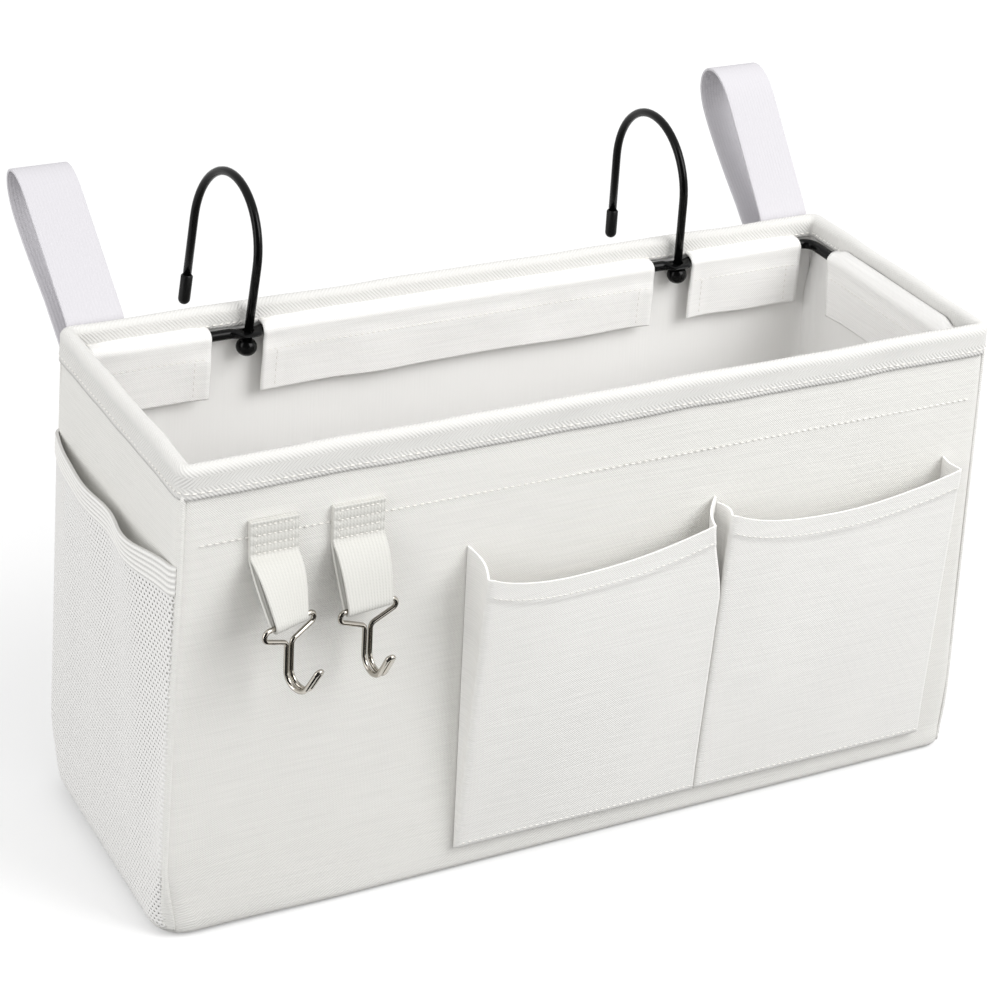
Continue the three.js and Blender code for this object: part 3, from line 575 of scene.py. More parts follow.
def finish(name, paint, roughness, **sockets):
    """Material with a plain colour on its shader, or the one of that name that is there already."""
    material = bpy.data.materials.get(name)
    if material:
        return material, None
    material = bpy.data.materials.new(name)
    material.use_nodes = True
    shader = material.node_tree.nodes["Principled BSDF"]
    shader.inputs["Base Color"].default_value = (*paint, 1)
    shader.inputs["Roughness"].default_value = roughness
    for socket, value in sockets.items():
        shader.inputs[socket.replace("_", " ")].default_value = value
    return material, shader


def flat_place(material):
    """Place on the flat cloth, across and along, in metres."""
    place = node(material, "ShaderNodeTexCoord").node.outputs["UV"]
    return node(material, "ShaderNodeSeparateXYZ", {0: place}).node.outputs


def wave(material, place, pitch, shift=0.0):
    """Rounded threads of a pitch, between -1 and 1."""
    turns = reckon(material, "MULTIPLY_ADD", place, math.tau / pitch, shift)
    return reckon(material, "SINE", turns)


def relief(material, shader, height, depth, paint, shade):
    """Threads, of a height between -1 and 1, stand out by a depth, and what lies between them is darker:
    painted shade between the threads, which also varies the tone along the slubs.
    """
    lowness = {"Value": height, "From Min": -1.0, "From Max": 0.6, "To Min": 1.0, "To Max": 0.0}
    share = node(material, "ShaderNodeMapRange", lowness)
    # Painted shade: low parts of the cloth get a darker copy of its colour.
    painted_shade_tone = mixed(material, share, paint, [channel * shade for channel in paint])
    bump = node(material, "ShaderNodeBump", {"Distance": depth, "Height": height, "Strength": 0.5})
    links = material.node_tree.links
    links.new(painted_shade_tone, shader.inputs["Base Color"])
    links.new(bump, shader.inputs["Normal"])


def slubs(material, along, across, size_along, size_across):
    """Uneven thread: noise drawn out along the thread, between about -1 and 1."""
    a = reckon(material, "MULTIPLY", along, 1 / size_along)
    b = reckon(material, "MULTIPLY", across, 1 / size_across)
    place = node(material, "ShaderNodeCombineXYZ", {0: a, 1: b})
    noise = node(material, "ShaderNodeTexNoise", {"Vector": place, "Scale": 1.0, "Detail": 2.0})
    return reckon(material, "MULTIPLY_ADD", noise, 4.0, -2.0)


def canvas_finish():
    return plain_weave("Cotton canvas, plain weave", caddy().colours.canvas)


def pocket_finish():
    return plain_weave("Cotton canvas, light", caddy().colours.pocket)


def casing_finish():
    # Canvas painted lighter than the tub's, as painted light on casings that hang in the shade of their
    # rolls.
    return plain_weave("Cotton canvas, painted lighter", caddy().colours.casing)


def plain_weave(name, paint):
    # Plain-weave cotton canvas: fine crossed threads with slubs that streak it sideways. The threads are
    # drawn 1 mm apart, about twice as coarse as they are, so that they show.
    material, shader = finish(name, paint, 0.92, Specular_IOR_Level=0.2)
    if shader:
        across, along, _ = flat_place(material)
        pitch, streak, streak_length = 1.0 * MM, 1.1 * MM, 30 * MM
        threads = [wave(material, way, pitch) for way in (across, along)]
        weave = reckon(material, "MULTIPLY", *threads)
        streaks = slubs(material, across, along, streak_length, streak)
        height = reckon(material, "MULTIPLY_ADD", streaks, 0.6, weave)
        relief(material, shader, height, 0.2 * MM, paint, 0.9)
    return material


def lining_finish():
    # Close smooth cotton lining: threads too fine to see, faint upright streaks from the weaving.
    paint = caddy().colours.lining
    material, shader = finish("Cotton lining, close weave", paint, 0.85, Specular_IOR_Level=0.25)
    if shader:
        across, along, _ = flat_place(material)
        streak, streak_length = 0.9 * MM, 25 * MM
        streaks = slubs(material, along, across, streak_length, streak)
        relief(material, shader, streaks, 0.02 * MM, paint, 0.985)
    return material


def tape_finish():
    # Herringbone tape: slanting ribs 1.8 mm apart that turn back every 5 mm across the tape.
    paint = caddy().colours.tape
    material, shader = finish("Cotton tape, herringbone weave", paint, 0.9, Specular_IOR_Level=0.2)
    if shader:
        across, along, _ = flat_place(material)
        rib, turn_back = 1.8 * MM, 5 * MM
        zigzag = reckon(material, "PINGPONG", along, turn_back)
        slope = reckon(material, "ADD", across, zigzag)
        relief(material, shader, wave(material, slope, rib), 0.18 * MM, paint, 0.95)
    return material


def webbing_finish(name, paint, pitch, depth, shade):
    # Woven webbing: ribs along its length, each of short slanting floats.
    material, shader = finish(name, paint, 0.75, Specular_IOR_Level=0.3)
    if shader:
        across, along, _ = flat_place(material)
        ribs = wave(material, across, pitch)
        float_pitch = 1.3 * MM
        floats = wave(material, reckon(material, "ADD", across, along), float_pitch)
        height = reckon(material, "MULTIPLY_ADD", floats, 0.35, ribs)
        relief(material, shader, height, depth, paint, shade)
    return material


def strap_finish():
    return webbing_finish("Polyester webbing, fine ribs", caddy().colours.strap, 1.6 * MM, 0.06 * MM, 0.98)


def tab_finish():
    return webbing_finish("Cotton webbing, ribbed", caddy().colours.tab, 1.5 * MM, 0.13 * MM, 0.94)


def net_finish():
    # Knitted net: smooth thread with a slight shine, its holes are modelled.
    return finish("Polyester net, knitted", caddy().colours.net, 0.7, Specular_IOR_Level=0.3)[0]


def elastic_finish():
    # Ribbed elastic: the grooves between its modelled ribs get painted shade, fine cross threads make it
    # matt.
    paint = caddy().colours.elastic
    material, shader = finish("Elastic tape, ribbed", paint, 0.8, Specular_IOR_Level=0.25)
    if shader:
        across, along, _ = flat_place(material)
        thread, rib = 1.2 * MM, caddy().pocket.elastic_height / ELASTIC_RIBS
        threads = wave(material, across, thread)
        ribs = wave(material, along, rib, -math.pi / 2)
        height = reckon(material, "MULTIPLY_ADD", threads, 0.2, ribs)
        relief(material, shader, height, 0.12 * MM, paint, 0.8)
    return material


def thread_finish():
    # Twisted sewing thread, about as light as the cloth it sinks into.
    return finish("Cotton thread, twisted", caddy().colours.thread, 0.8, Specular_IOR_Level=0.25)[0]


def wire_finish():
    # Steel wire with a smooth black coating, faintly uneven as it set.
    paint = caddy().colours.wire
    material, shader = finish("Steel wire, black powder coat", paint, 0.16, Specular_IOR_Level=0.15)
    if shader:
        place = node(material, "ShaderNodeTexCoord").node.outputs["Object"]
        grain = node(material, "ShaderNodeTexNoise", {"Vector": place, "Scale": 900.0, "Detail": 1.0})
        bump = node(material, "ShaderNodeBump", {"Distance": 0.02 * MM, "Height": grain, "Strength": 0.3})
        material.node_tree.links.new(bump, shader.inputs["Normal"])
    return material


def rubber_finish():
    # Dipped black rubber, duller than the wire.
    return finish("Rubber, dipped", caddy().colours.rubber, 0.4, Specular_IOR_Level=0.2)[0]


def nickel_finish():
    # Bright nickel over drawn wire, mirror-like.
    return finish("Steel wire, nickel plated", caddy().colours.nickel, 0.1, Metallic=1.0)[0]


def board_finish():
    # Pressed grey board, hidden between canvas and lining.
    return finish("Grey board, pressed", caddy().colours.board, 0.95)[0]


# Pieces of the tub

def wall_thickness():
    """Thickness of canvas, board and lining together."""
    tub = caddy().tub
    return tub.canvas + tub.board + tub.lining + 2 * tub.gap


def bag_rows(wall, floor, edge, rings, edge_rows, wall_rows):
    """Insets and heights of a bag's rows, from the middle of its base over its lower edge to the rim."""
    tub = caddy().tub
    bend = np.linspace(0, math.pi / 2, edge_rows)
    over_base = tub.depth / 2 * np.array(rings)
    inset = np.r_[over_base, wall + edge * (1 - np.sin(bend)), wall * np.ones(wall_rows)]
    rise = np.linspace(floor + edge, tub.height, wall_rows + 1)[1:]
    height = np.r_[floor * np.ones(len(rings)), floor + edge * (1 - np.cos(bend)), rise]
    return inset, height


def round_tub(name, columns, inset, height, shift):
    """Cloth that goes once round the tub in rows of an inset and a height, its points moved by a shift."""
    run_down = distances(np.stack([inset, height], 1))
    rows = len(inset) - 1

    def place(u, v):
        row = np.rint(v * rows).astype(int)
        points, out, run = around(u, inset[row], height[row])
        points += shift(out, run, height[row])
        return points, np.stack([run, run_down[row]], 1)

    return cloth(name, columns, rows, place)


class CADDY_OT_canvas_tub(bpy.types.Operator):
    """Outer canvas as one shell drawn round the boards, and the boards in it"""
    bl_idname = "caddy.canvas_tub"
    bl_label = "Canvas tub"

    def execute(self, context):
        tub = caddy().tub
        rings = (1, 0.7, 0.4, 0.2)
        inset, height = bag_rows(0, 0, tub.base_edge, rings, edge_rows=8, wall_rows=56)

        def lifted(out, run, z):
            free = smoothstep(10 * MM, 50 * MM, z) * smoothstep(tub.height, tub.height - 30 * MM, z)
            lift = tub.slack * (1 + calm(run) * ripple(run, z * 0.6, 35 * MM)) * free
            return out * lift[:, None]

        shell = round_tub("canvas_tub", 330, inset, height, lifted)
        applied(shell, "SOLIDIFY", thickness=tub.canvas, offset=-1)
        panels = [f"outer_{wall}_panel" for wall in (*WALLS, "base")]
        dress(shell, canvas_finish(), "tub", "canvas", *panels)
        self.boards()
        return {"FINISHED"}

    def boards(self):
        """Stiff boards: one round the walls and one in the base."""
        tub = caddy().tub
        foot, top_gap = 12 * MM, 1 * MM
        base_inset, base_top, base_thickness = 9 * MM, 1.6 * MM, 2.6 * MM

        def upright(u, v):
            z = foot + v * (tub.height - foot - top_gap)
            points, _, run = around(u, tub.canvas + tub.gap + 0 * u, z)
            return points, np.stack([run, z], 1)

        wrap = cloth("board_wrap", 180, 12, upright)
        applied(wrap, "SOLIDIFY", thickness=tub.board, offset=-1)
        dress(wrap, board_finish(), "tub", "board", *[f"{wall}_board" for wall in WALLS])

        def level(u, v):
            inner = tub.depth / 2 * (1 - v) + base_inset * v
            points, _, run = around(u, inner, 0 * u + base_top)
            return points, np.stack([run, inner], 1)

        base = cloth("board_base", 180, 6, level)
        applied(base, "SOLIDIFY", thickness=base_thickness, offset=-1)
        dress(base, board_finish(), "tub", "board", "base_board")


class CADDY_OT_lining_bag(bpy.types.Operator):
    """Lining as one bag that sags a little and puckers in its corners"""
    bl_idname = "caddy.lining_bag"
    bl_label = "Lining"

    # Folds beside each corner: place past the corner and half width in millimetres, share of the depth
    FOLDS = ((-5, 2.8, 1), (4.6, 2.4, 0.85))

    def execute(self, context):
        tub = caddy().tub
        floor, edge, sag = 5.2 * MM, 5 * MM, 0.6 * MM
        rings = (1, 0.8, 0.6, 0.4, 0.25)
        inset, height = bag_rows(wall_thickness(), floor, edge, rings, edge_rows=6, wall_rows=50)
        stops = rim_stops(tub.edge * math.pi / 2, False)
        corners = (stops[[1, 3, 5, 7]] + stops[[2, 4, 6, 8]]) / 2

        def sagging(out, run, z):
            free = smoothstep(floor, floor + 40 * MM, z)
            uneven = 1 + calm(run) * ripple(run, z, 30 * MM)
            loose = sag * uneven * free * smoothstep(180 * MM, 150 * MM, z)
            waver = 35 * (z - 160 * MM) + 0.8 * np.sin(z / (11 * MM))
            for corner in corners:
                away = (run - corner) / MM + waver
                fold = sum(deep * np.exp(-((away - at) / wide) ** 2) for at, wide, deep in self.FOLDS)
                loose += tub.pucker * fold * free * smoothstep(212 * MM, 185 * MM, z)
            return -out * loose[:, None]

        bag = round_tub("lining_bag", 520, inset, height, sagging)
        applied(bag, "SOLIDIFY", thickness=tub.lining, offset=1)
        walls = [f"lining_{wall}" for wall in (*WALLS, "base")]
        dress(bag, lining_finish(), "tub", "lining", *walls)
        return {"FINISHED"}


class CADDY_OT_rim_tape(bpy.types.Operator):
    """Binding tape folded over the rim, with its stitches"""
    bl_idname = "caddy.rim_tape"
    bl_label = "Rim binding"

    def execute(self, context):
        tub = caddy().tub
        over_rim, wander, swell = 1.5 * MM, 0.45 * MM, 0.25 * MM
        reach = tub.gap + tub.tape
        half = wall_thickness() / 2 + reach
        spring = tub.height + over_rim - half
        lower, inner = tub.height - tub.tape_outer, tub.height - tub.tape_inner
        turn = np.linspace(0, math.pi, 13)
        outside = np.linspace(lower, spring, 9)[:-1]
        inside = np.linspace(spring, inner, 6)[1:]
        over = half - reach - half * np.cos(turn)
        inset = np.r_[-reach * np.ones(len(outside)), over, (2 * half - reach) * np.ones(len(inside))]
        height = np.r_[outside, spring + half * np.sin(turn), inside]

        def uneven(out, run, z):
            rise = wander * calm(run) * ripple(run, 0 * run, 20 * MM)
            stand = swell * calm(run) * ripple(run, z * 3, 12 * MM)
            return np.outer(rise, UP) + out * stand[:, None]

        tape = round_tub("rim_tape", 420, inset, height, uneven)
        applied(tape, "SOLIDIFY", thickness=tub.tape, offset=-1)
        dress(tape, tape_finish(), "tub", "binding", "rim_binding")
        width = distances(np.stack([inset, height], 1))[-1]

        sunk, casing_seam, seam_end = 0.05 * MM, 34 * MM, 6 * MM
        outer = ring(-reach - sunk, lower + 2.6 * MM)
        within, outward = ring(2 * half - reach + sunk, inner + 2 * MM)
        band, out = ring(-0.3 * MM, tub.height - casing_seam)
        front = (out[:, 1] < -0.99) & (np.abs(band[:, 0]) < tub.length / 2 - seam_end)
        lifted = band[front] + out[front] * tub.slack
        sew("rim_stitches", [outer, (within, -outward), (lifted, out[front])])
        return {"FINISHED"}


class CADDY_OT_casings(bpy.types.Operator):
    """Cloth casings that turn over the frame rod, with their hems and stitches"""
    bl_idname = "caddy.casings"
    bl_label = "Casings"

    # Profiles of the cloth off the wall and over the rod's middle, below the rod and above it
    BELOW = ((5.1 * MM, -21 * MM), (5.7 * MM, -13 * MM), (6.5 * MM, -6.5 * MM))
    ABOVE_LONG = ((2.2 * MM, 4.1 * MM), (0.5 * MM, 4.6 * MM))
    ABOVE_END = ((5.3 * MM, 4.1 * MM), (3.7 * MM, 5.6 * MM), (2.3 * MM, 6.8 * MM))
    INWARD = {"front": (0, 1, 0), "back": (0, -1, 0), "left": (1, 0, 0), "right": (-1, 0, 0)}

    def execute(self, context):
        tub, wires = caddy().tub, caddy().wire
        end = tub.length / 2 - wall_thickness() - wires.rod_off - wires.rod_bend
        side = tub.depth / 2 - wall_thickness() - wires.rod_off - wires.rod_bend
        hook, left, right = wires.spread / 2, tub.notch_left, tub.notch_right
        flaps = {
            "casing_flap_left": ("back", -end - 6 * MM, -hook - left),
            "casing_flap_middle": ("back", right - hook, hook - left + 4 * MM),
            "casing_flap_right": ("back", hook + right, end),
            "casing_band_front": ("front", -end, end),
            "casing_band_left": ("left", -side, side - tub.casing_gap),
            "casing_band_right": ("right", tub.casing_gap - side, side),
        }
        seams = []
        for node_name, (wall, start, stop) in flaps.items():
            seams += self.casing(node_name, wall, start, stop)
        sew("casing_stitches", seams, pitch=2.8 * MM, thread=0.5 * MM)
        return {"FINISHED"}

    def profile(self, wall):
        """Line of the cloth, off the wall and over the rod's middle, from its lower edge to its upper one."""
        tub, wires = caddy().tub, caddy().wire
        radius = wires.rod / 2 + 1.5 * tub.gap + tub.casing
        turn = np.radians(np.linspace(-25, 50 if wall in SIDES else 100, 13))
        roll = np.stack([wires.rod_off - wires.rod_tuck + radius * np.cos(turn), radius * np.sin(turn)], 1)
        above = self.ABOVE_END if wall in SIDES else self.ABOVE_LONG
        points = np.concatenate([[(4.8 * MM, -tub.casing_drop)], self.BELOW, roll, above])
        return smooth_line(points, 0.8 * MM, 0.9 * MM)

    def casing(self, node_name, wall, start, stop):
        """Models a casing along a wall, and gives the seams on it."""
        tub, wires = caddy().tub, caddy().wire
        off = np.array(self.INWARD[wall])
        along = np.cross(UP, off)
        half = (tub.length if wall in SIDES else tub.depth) / 2 - wall_thickness()
        line = self.profile(wall)
        rows, run = len(line) - 1, distances(line)
        skirt_top = -4 * MM
        skirt = line[line[:, 1] < skirt_top]
        hem_width, hem_fold, wave_depth, edge_depth, gape = 8 * MM, 0.35 * MM, 0.5 * MM, 0.5 * MM, 0.7 * MM

        def surface(s, o, h):
            # The skirt waves and carries a hem at its ends, where the casing gapes and its top comes down.
            inward = np.minimum(s - start, stop - s)
            hem = smoothstep(hem_width + 0.6 * MM, hem_width, inward)
            low = smoothstep(skirt_top, 3 * skirt_top, h)
            o = o + low * (hem_fold * hem + wave_depth * (1 + ripple(s, h, 14 * MM)))
            o = o + gape * smoothstep(6 * MM, 0, inward) * smoothstep(5 * MM, 1 * MM, h)
            h = h + smoothstep(-20 * MM, -tub.casing_drop, h) * edge_depth * ripple(s, 0 * s, 18 * MM)
            h = h - 0.8 * smoothstep(9 * MM, 0, inward) * np.maximum(h - 3.6 * MM, 0)
            points = np.outer(o - half, off) + np.outer(s, along)
            points[:, 2] += tub.height - wires.rod_drop + h
            points[:, 0] *= flare_at(points[:, 2])
            return points

        def place(u, v):
            row = np.rint(v * rows).astype(int)
            s = start + (stop - start) * u
            return surface(s, line[row, 0], line[row, 1]), np.stack([s, run[row]], 1)

        columns = max(int((stop - start) / (2 * MM)), 20)
        piece = cloth(node_name.replace("casing", "canvas"), columns, rows, place)
        applied(piece, "SOLIDIFY", thickness=tub.casing, offset=-1)
        dress(piece, casing_finish(), "tub", "canvas", node_name)
        seam, side_seam = -9 * MM, 7 * MM
        s = np.linspace(start + 2 * MM, stop - 2 * MM, 120)
        h = np.linspace(-tub.casing_drop + 1.5 * MM, seam, 30)
        lines = [(s, seam + 0 * s)]
        if wall == "back":
            lines += [(edge + 0 * h, h) for edge in (start + side_seam, stop - side_seam)]
        return [(surface(s, np.interp(h, skirt[:, 1], skirt[:, 0]), h), off) for s, h in lines]


# Wires

class CADDY_OT_frame_rod(bpy.types.Operator):
    """Frame rod with an eye forged and drilled at each hook"""
    bl_idname = "caddy.frame_rod"
    bl_label = "Frame rod"

    def execute(self, context):
        tub, wires = caddy().tub, caddy().wire
        z = tub.height - wires.rod_drop
        x = tub.length / 2 - wall_thickness() - wires.rod_off + wires.rod_tuck
        y = tub.depth / 2 - wall_thickness() - wires.rod_off + wires.rod_tuck
        steps = [1 * MM] * round(2 * (x - wires.rod_bend) / MM)
        quarter, turn = math.pi / 2, wires.rod_bend
        route = bent(
            (-x + turn, -y, z), (1, 0, 0), 2 * (x - turn), (turn, quarter, (0, 1, 0)), 2 * (y - turn),
            (turn, quarter, (-1, 0, 0)), *steps, (turn, quarter, (0, -1, 0)), 2 * (y - turn),
            (turn, quarter, (1, 0, 0)))
        rod = wire("frame_rod", route[:-1], wires.rod, cyclic=True)
        for vertex in rod.data.vertices:
            point = vertex.co
            if point.y > 0:
                away = abs(abs(point.x) - wires.spread / 2)
                squeeze = float(smoothstep(wires.eye_length * 0.5, wires.eye_length * 0.2, away))
                tall = 1 + squeeze * (wires.eye_thickness / wires.rod - 1)
                deep = 1 + squeeze * (wires.eye_depth / wires.rod - 1)
                point.z = z + (point.z - z) * tall
                point.y = y + (point.y - y) * deep - wires.rod_tuck * squeeze
            point.x *= flare_at(z)
        for sign in SIDES.values():
            bpy.ops.mesh.primitive_cylinder_add(
                vertices=32, radius=wires.eye_bore / 2, depth=20 * MM,
                location=(sign * wires.spread / 2 * flare_at(z), y - wires.rod_tuck, z))
            drill = bpy.context.object
            applied(rod, "BOOLEAN", operation="DIFFERENCE", object=drill, solver="EXACT")
            bpy.data.objects.remove(drill)
        alone(rod)
        bpy.ops.object.shade_smooth_by_angle(angle=FORGED_CREASE)
        dress(rod, wire_finish(), "tub", "black_wire", "wire_frame")
        return {"FINISHED"}


class CADDY_OT_rail_hooks(bpy.types.Operator):
    """Rail hooks with their heads and soft tips"""
    bl_idname = "caddy.rail_hooks"
    bl_label = "Rail hooks"

    def execute(self, context):
        tub, wires = caddy().tub, caddy().wire
        z = tub.height - wires.rod_drop
        y = tub.depth / 2 - wall_thickness() - wires.rod_off
        foot = -4.2 * MM
        route = bent(
            (0, 0, foot), (0, 0, 1), wires.rise - foot, (wires.bend, math.pi, (0, 1, 0)), wires.leg)
        at_tip = Matrix.Translation((0, 2 * wires.bend, wires.rise - wires.leg))
        for side, sign in SIDES.items():
            stand = Matrix.Translation((sign * wires.spread / 2 * flare_at(z), y, z))
            if side == "left":
                stand = stand @ Matrix.Rotation(wires.lean, 4, "Y") @ Matrix.Rotation(wires.yaw, 4, "Z")
                stand = stand @ Matrix.Translation((0, 0, -wires.drop))
            body = f"rail_hook_{side}"
            hook = wire(f"rail_wire_{side}", route, wires.hook)
            hook.data.transform(stand)
            dress(hook, wire_finish(), body, "black_wire", f"rail_hook_{side}")
            knob = turned(f"rail_head_{side}", self.head())
            knob.data.transform(stand)
            dress(knob, wire_finish(), body, "black_wire", f"hook_head_{side}")
            cap = turned(f"rail_tip_{side}", self.tip())
            cap.data.transform(stand @ at_tip)
            dress(cap, rubber_finish(), body, "rubber", f"hook_tip_{side}")
        return {"FINISHED"}

    def head(self):
        """Profile of the head under an eye: a flat top with an eased edge over a dome."""
        wires = caddy().wire
        ball, top, waist, dome = wires.head / 2, -2.1 * MM, 2.9 * MM, 4.2 * MM
        profile = [(0, top), (wires.hook / 2, top), (ball * 0.75, top), (ball * 0.93, top - 1.2 * MM)]
        turn = np.linspace(0, math.pi / 2, 7)
        return profile + [(ball * math.cos(a), top - waist - dome * math.sin(a)) for a in turn]

    def tip(self):
        """Profile of the soft tip: a sleeve over the end of the wire with a round end."""
        wires = caddy().wire
        ball, top, shoulder, low = wires.tip / 2, 5.2 * MM, 4.6 * MM, -6.4 * MM
        profile = [(0, top), (wires.hook / 2 + 0.3 * MM, top), (ball, shoulder)]
        turn = np.linspace(0, math.pi / 2, 7)
        return profile + [(ball * math.cos(a), low - ball * math.sin(a)) for a in turn]


class CADDY_OT_accessory_hooks(bpy.types.Operator):
    """Accessory hooks, each bent from one wire"""
    bl_idname = "caddy.accessory_hooks"
    bl_label = "Accessory hooks"

    def execute(self, context):
        for side in SIDES:
            shape = tab_shape(side)
            hook = wire(f"wire_hook_{side}", self.route(), caddy().wire.nickel)
            off, up = shape["bar"]
            at = (shape["x"], -caddy().tub.depth / 2 - off, caddy().webbing.tab_root + up)
            hook.data.transform(Matrix.Translation(at) @ Matrix.Rotation(shape["twist"], 4, "Z"))
            dress(hook, nickel_finish(), f"accessory_hook_{side}", "nickel", f"accessory_hook_{side}")
        return {"FINISHED"}

    def route(self):
        """Way of the wire from the gap in the bar down one side, round the doubled curl and up again."""
        wires = caddy().wire
        slope, corner, bend = math.radians(22), 2.4 * MM, 3 * MM
        half, gap, end = 1.4 * MM, 1 * MM, 10 * MM
        bar = (wires.bar - gap) / 2 - corner
        reach = wires.bar / 2 - corner + corner * math.sin(slope)
        hanger = (reach - bend * (1 - math.sin(slope)) - half) / math.cos(slope)
        over, straighten, curl = math.pi - slope, math.pi / 2 - slope, math.radians(150)
        return bent(
            (-gap / 2, 0, 0), (-1, 0, 0), bar, (corner, over, (0, 0, -1)), hanger,
            (bend, straighten, (0, 0, -1)), wires.shank, (wires.curl, curl, (0, -1, 0)), end,
            (half, math.pi, (1, 0, 0)), end, (wires.curl, curl, (0, 1, 0)), wires.shank,
            (bend, straighten, (1, 0, 0)), hanger, (corner, over, (0, 0, 1)), bar)


# Webbing

TAB_ROWS = (0.12, 0.36, 0.62, 0.88)  # rows of stitches, as shares of the sewn-down height
STRAP_ROWS = (0.15, 0.4, 0.65, 0.88)
# Lean and twist of each tab in degrees, its taper, and its width as a share of the webbing's
TAB_HANGS = {"left": (38, 20, 0.2, 0.92), "right": (26, 8, 0.08, 1)}


def box_seam(x, width, face, out, low, tall, rows):
    """Rows of stitches across a sewn-down end, joined at its sides."""
    inset = 2.6 * MM
    left, right = x - width / 2 + inset, x + width / 2 - inset
    lines = [np.array([(left, face, low + row * tall), (right, face, low + row * tall)]) for row in rows]
    lines += [np.array([(side, face, low + rows[0] * tall), (side, face, low + rows[-1] * tall)])
              for side in (left, right)]
    return [(line, np.array([0, out, 0])) for line in lines]


def tab_shape(side):
    """How a tab hangs: its middle, lean and twist, and its bar, off the panel and above its root."""
    webbing = caddy().webbing
    lean, twist, taper, broad = TAB_HANGS[side]
    lean, root = math.radians(lean), 1.75 * MM
    length = webbing.tab_length
    return {
        "x": webbing.left_tab if side == "left" else webbing.right_tab,
        "lean": lean, "twist": math.radians(twist), "taper": taper, "root": root,
        "width": webbing.tab_width * broad,
        "bar": np.array([root + length * math.sin(lean), -length * math.cos(lean)]),
    }


class CADDY_OT_tabs(bpy.types.Operator):
    """Tabs on the front, each one length of webbing, sewn down and looped round the bar of its hook"""
    bl_idname = "caddy.tabs"
    bl_label = "Front tabs"

    def execute(self, context):
        webbing, face = caddy().webbing, -caddy().tub.depth / 2 - 3.1 * MM
        seams = []
        for side in SIDES:
            shape = tab_shape(side)
            self.tab(side, shape)
            root, sewn = webbing.tab_root, webbing.tab_sewn
            seams += box_seam(shape["x"], shape["width"], face, -1, root, sewn, TAB_ROWS)
        sew("tab_stitches", seams, pitch=2.2 * MM, thread=0.65 * MM)
        return {"FINISHED"}

    def line(self, shape):
        """Line of the webbing, off the panel and above its root, down round the bar and up again."""
        sewn, lean, bar, root = caddy().webbing.tab_sewn, shape["lean"], shape["bar"], shape["root"]
        inner, outer, loop = 0.95 * MM, 2.55 * MM, 2.05 * MM
        turn = np.linspace(lean - math.pi, lean, 19)
        round_bar = bar + loop * np.stack([np.cos(turn), np.sin(turn)], 1)
        near, far = [(inner, sewn), (inner, 0)], [(outer, 0), (outer, sewn)]
        share = np.linspace(0.12, 0.88, 8)[:, None]
        middle = np.array([root, 0]) + share * (bar - (root, 0))
        outward = np.array([math.cos(lean), math.sin(lean)])
        open_way = outward * (0.8 + 1.25 * share)
        swell = outward * np.sin(math.pi * share ** 0.7)
        behind, before = middle - MM * (open_way + 0.5 * swell), middle + MM * (open_way + 2.6 * swell)
        points = np.concatenate([near, behind, round_bar, before[::-1], far])
        return smooth_line(points, 0.6 * MM, 1.2 * MM)

    def tab(self, side, shape):
        webbing, front = caddy().webbing, -caddy().tub.depth / 2
        lean, bar, root = shape["lean"], shape["bar"], shape["root"]
        line = self.line(shape)
        stitch_width, stitch_depth = 0.8 * MM, 0.35 * MM
        rows = [row * webbing.tab_sewn for row in TAB_ROWS]

        def place(point, across):
            down = (point[:, 0] - root) * math.sin(lean) - point[:, 1] * math.cos(lean)
            share = np.clip(down / webbing.tab_length, 0, 1)
            middle = root + share * (bar[0] - root)
            turn = shape["twist"] * share
            across = across * (1 - shape["taper"] * share ** 1.5)
            sunk = sum(np.exp(-((point[:, 1] - row) / stitch_width) ** 2) for row in rows)
            arm = middle - point[:, 0] + stitch_depth * sunk * (point[:, 0] > root)
            x = across * np.cos(turn) - arm * np.sin(turn)
            y = across * np.sin(turn) + arm * np.cos(turn)
            return np.stack([shape["x"] + x, front - middle + y, webbing.tab_root + point[:, 1]], 1)

        piece = ribbon(f"tab_web_{side}", line, shape["width"], webbing.tab, place)
        dress(piece, tab_finish(), None, "tab_webbing", f"tab_loop_{side}", f"tab_end_{side}")
        flat = (shape["width"], distances(line)[-1])
        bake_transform(piece)


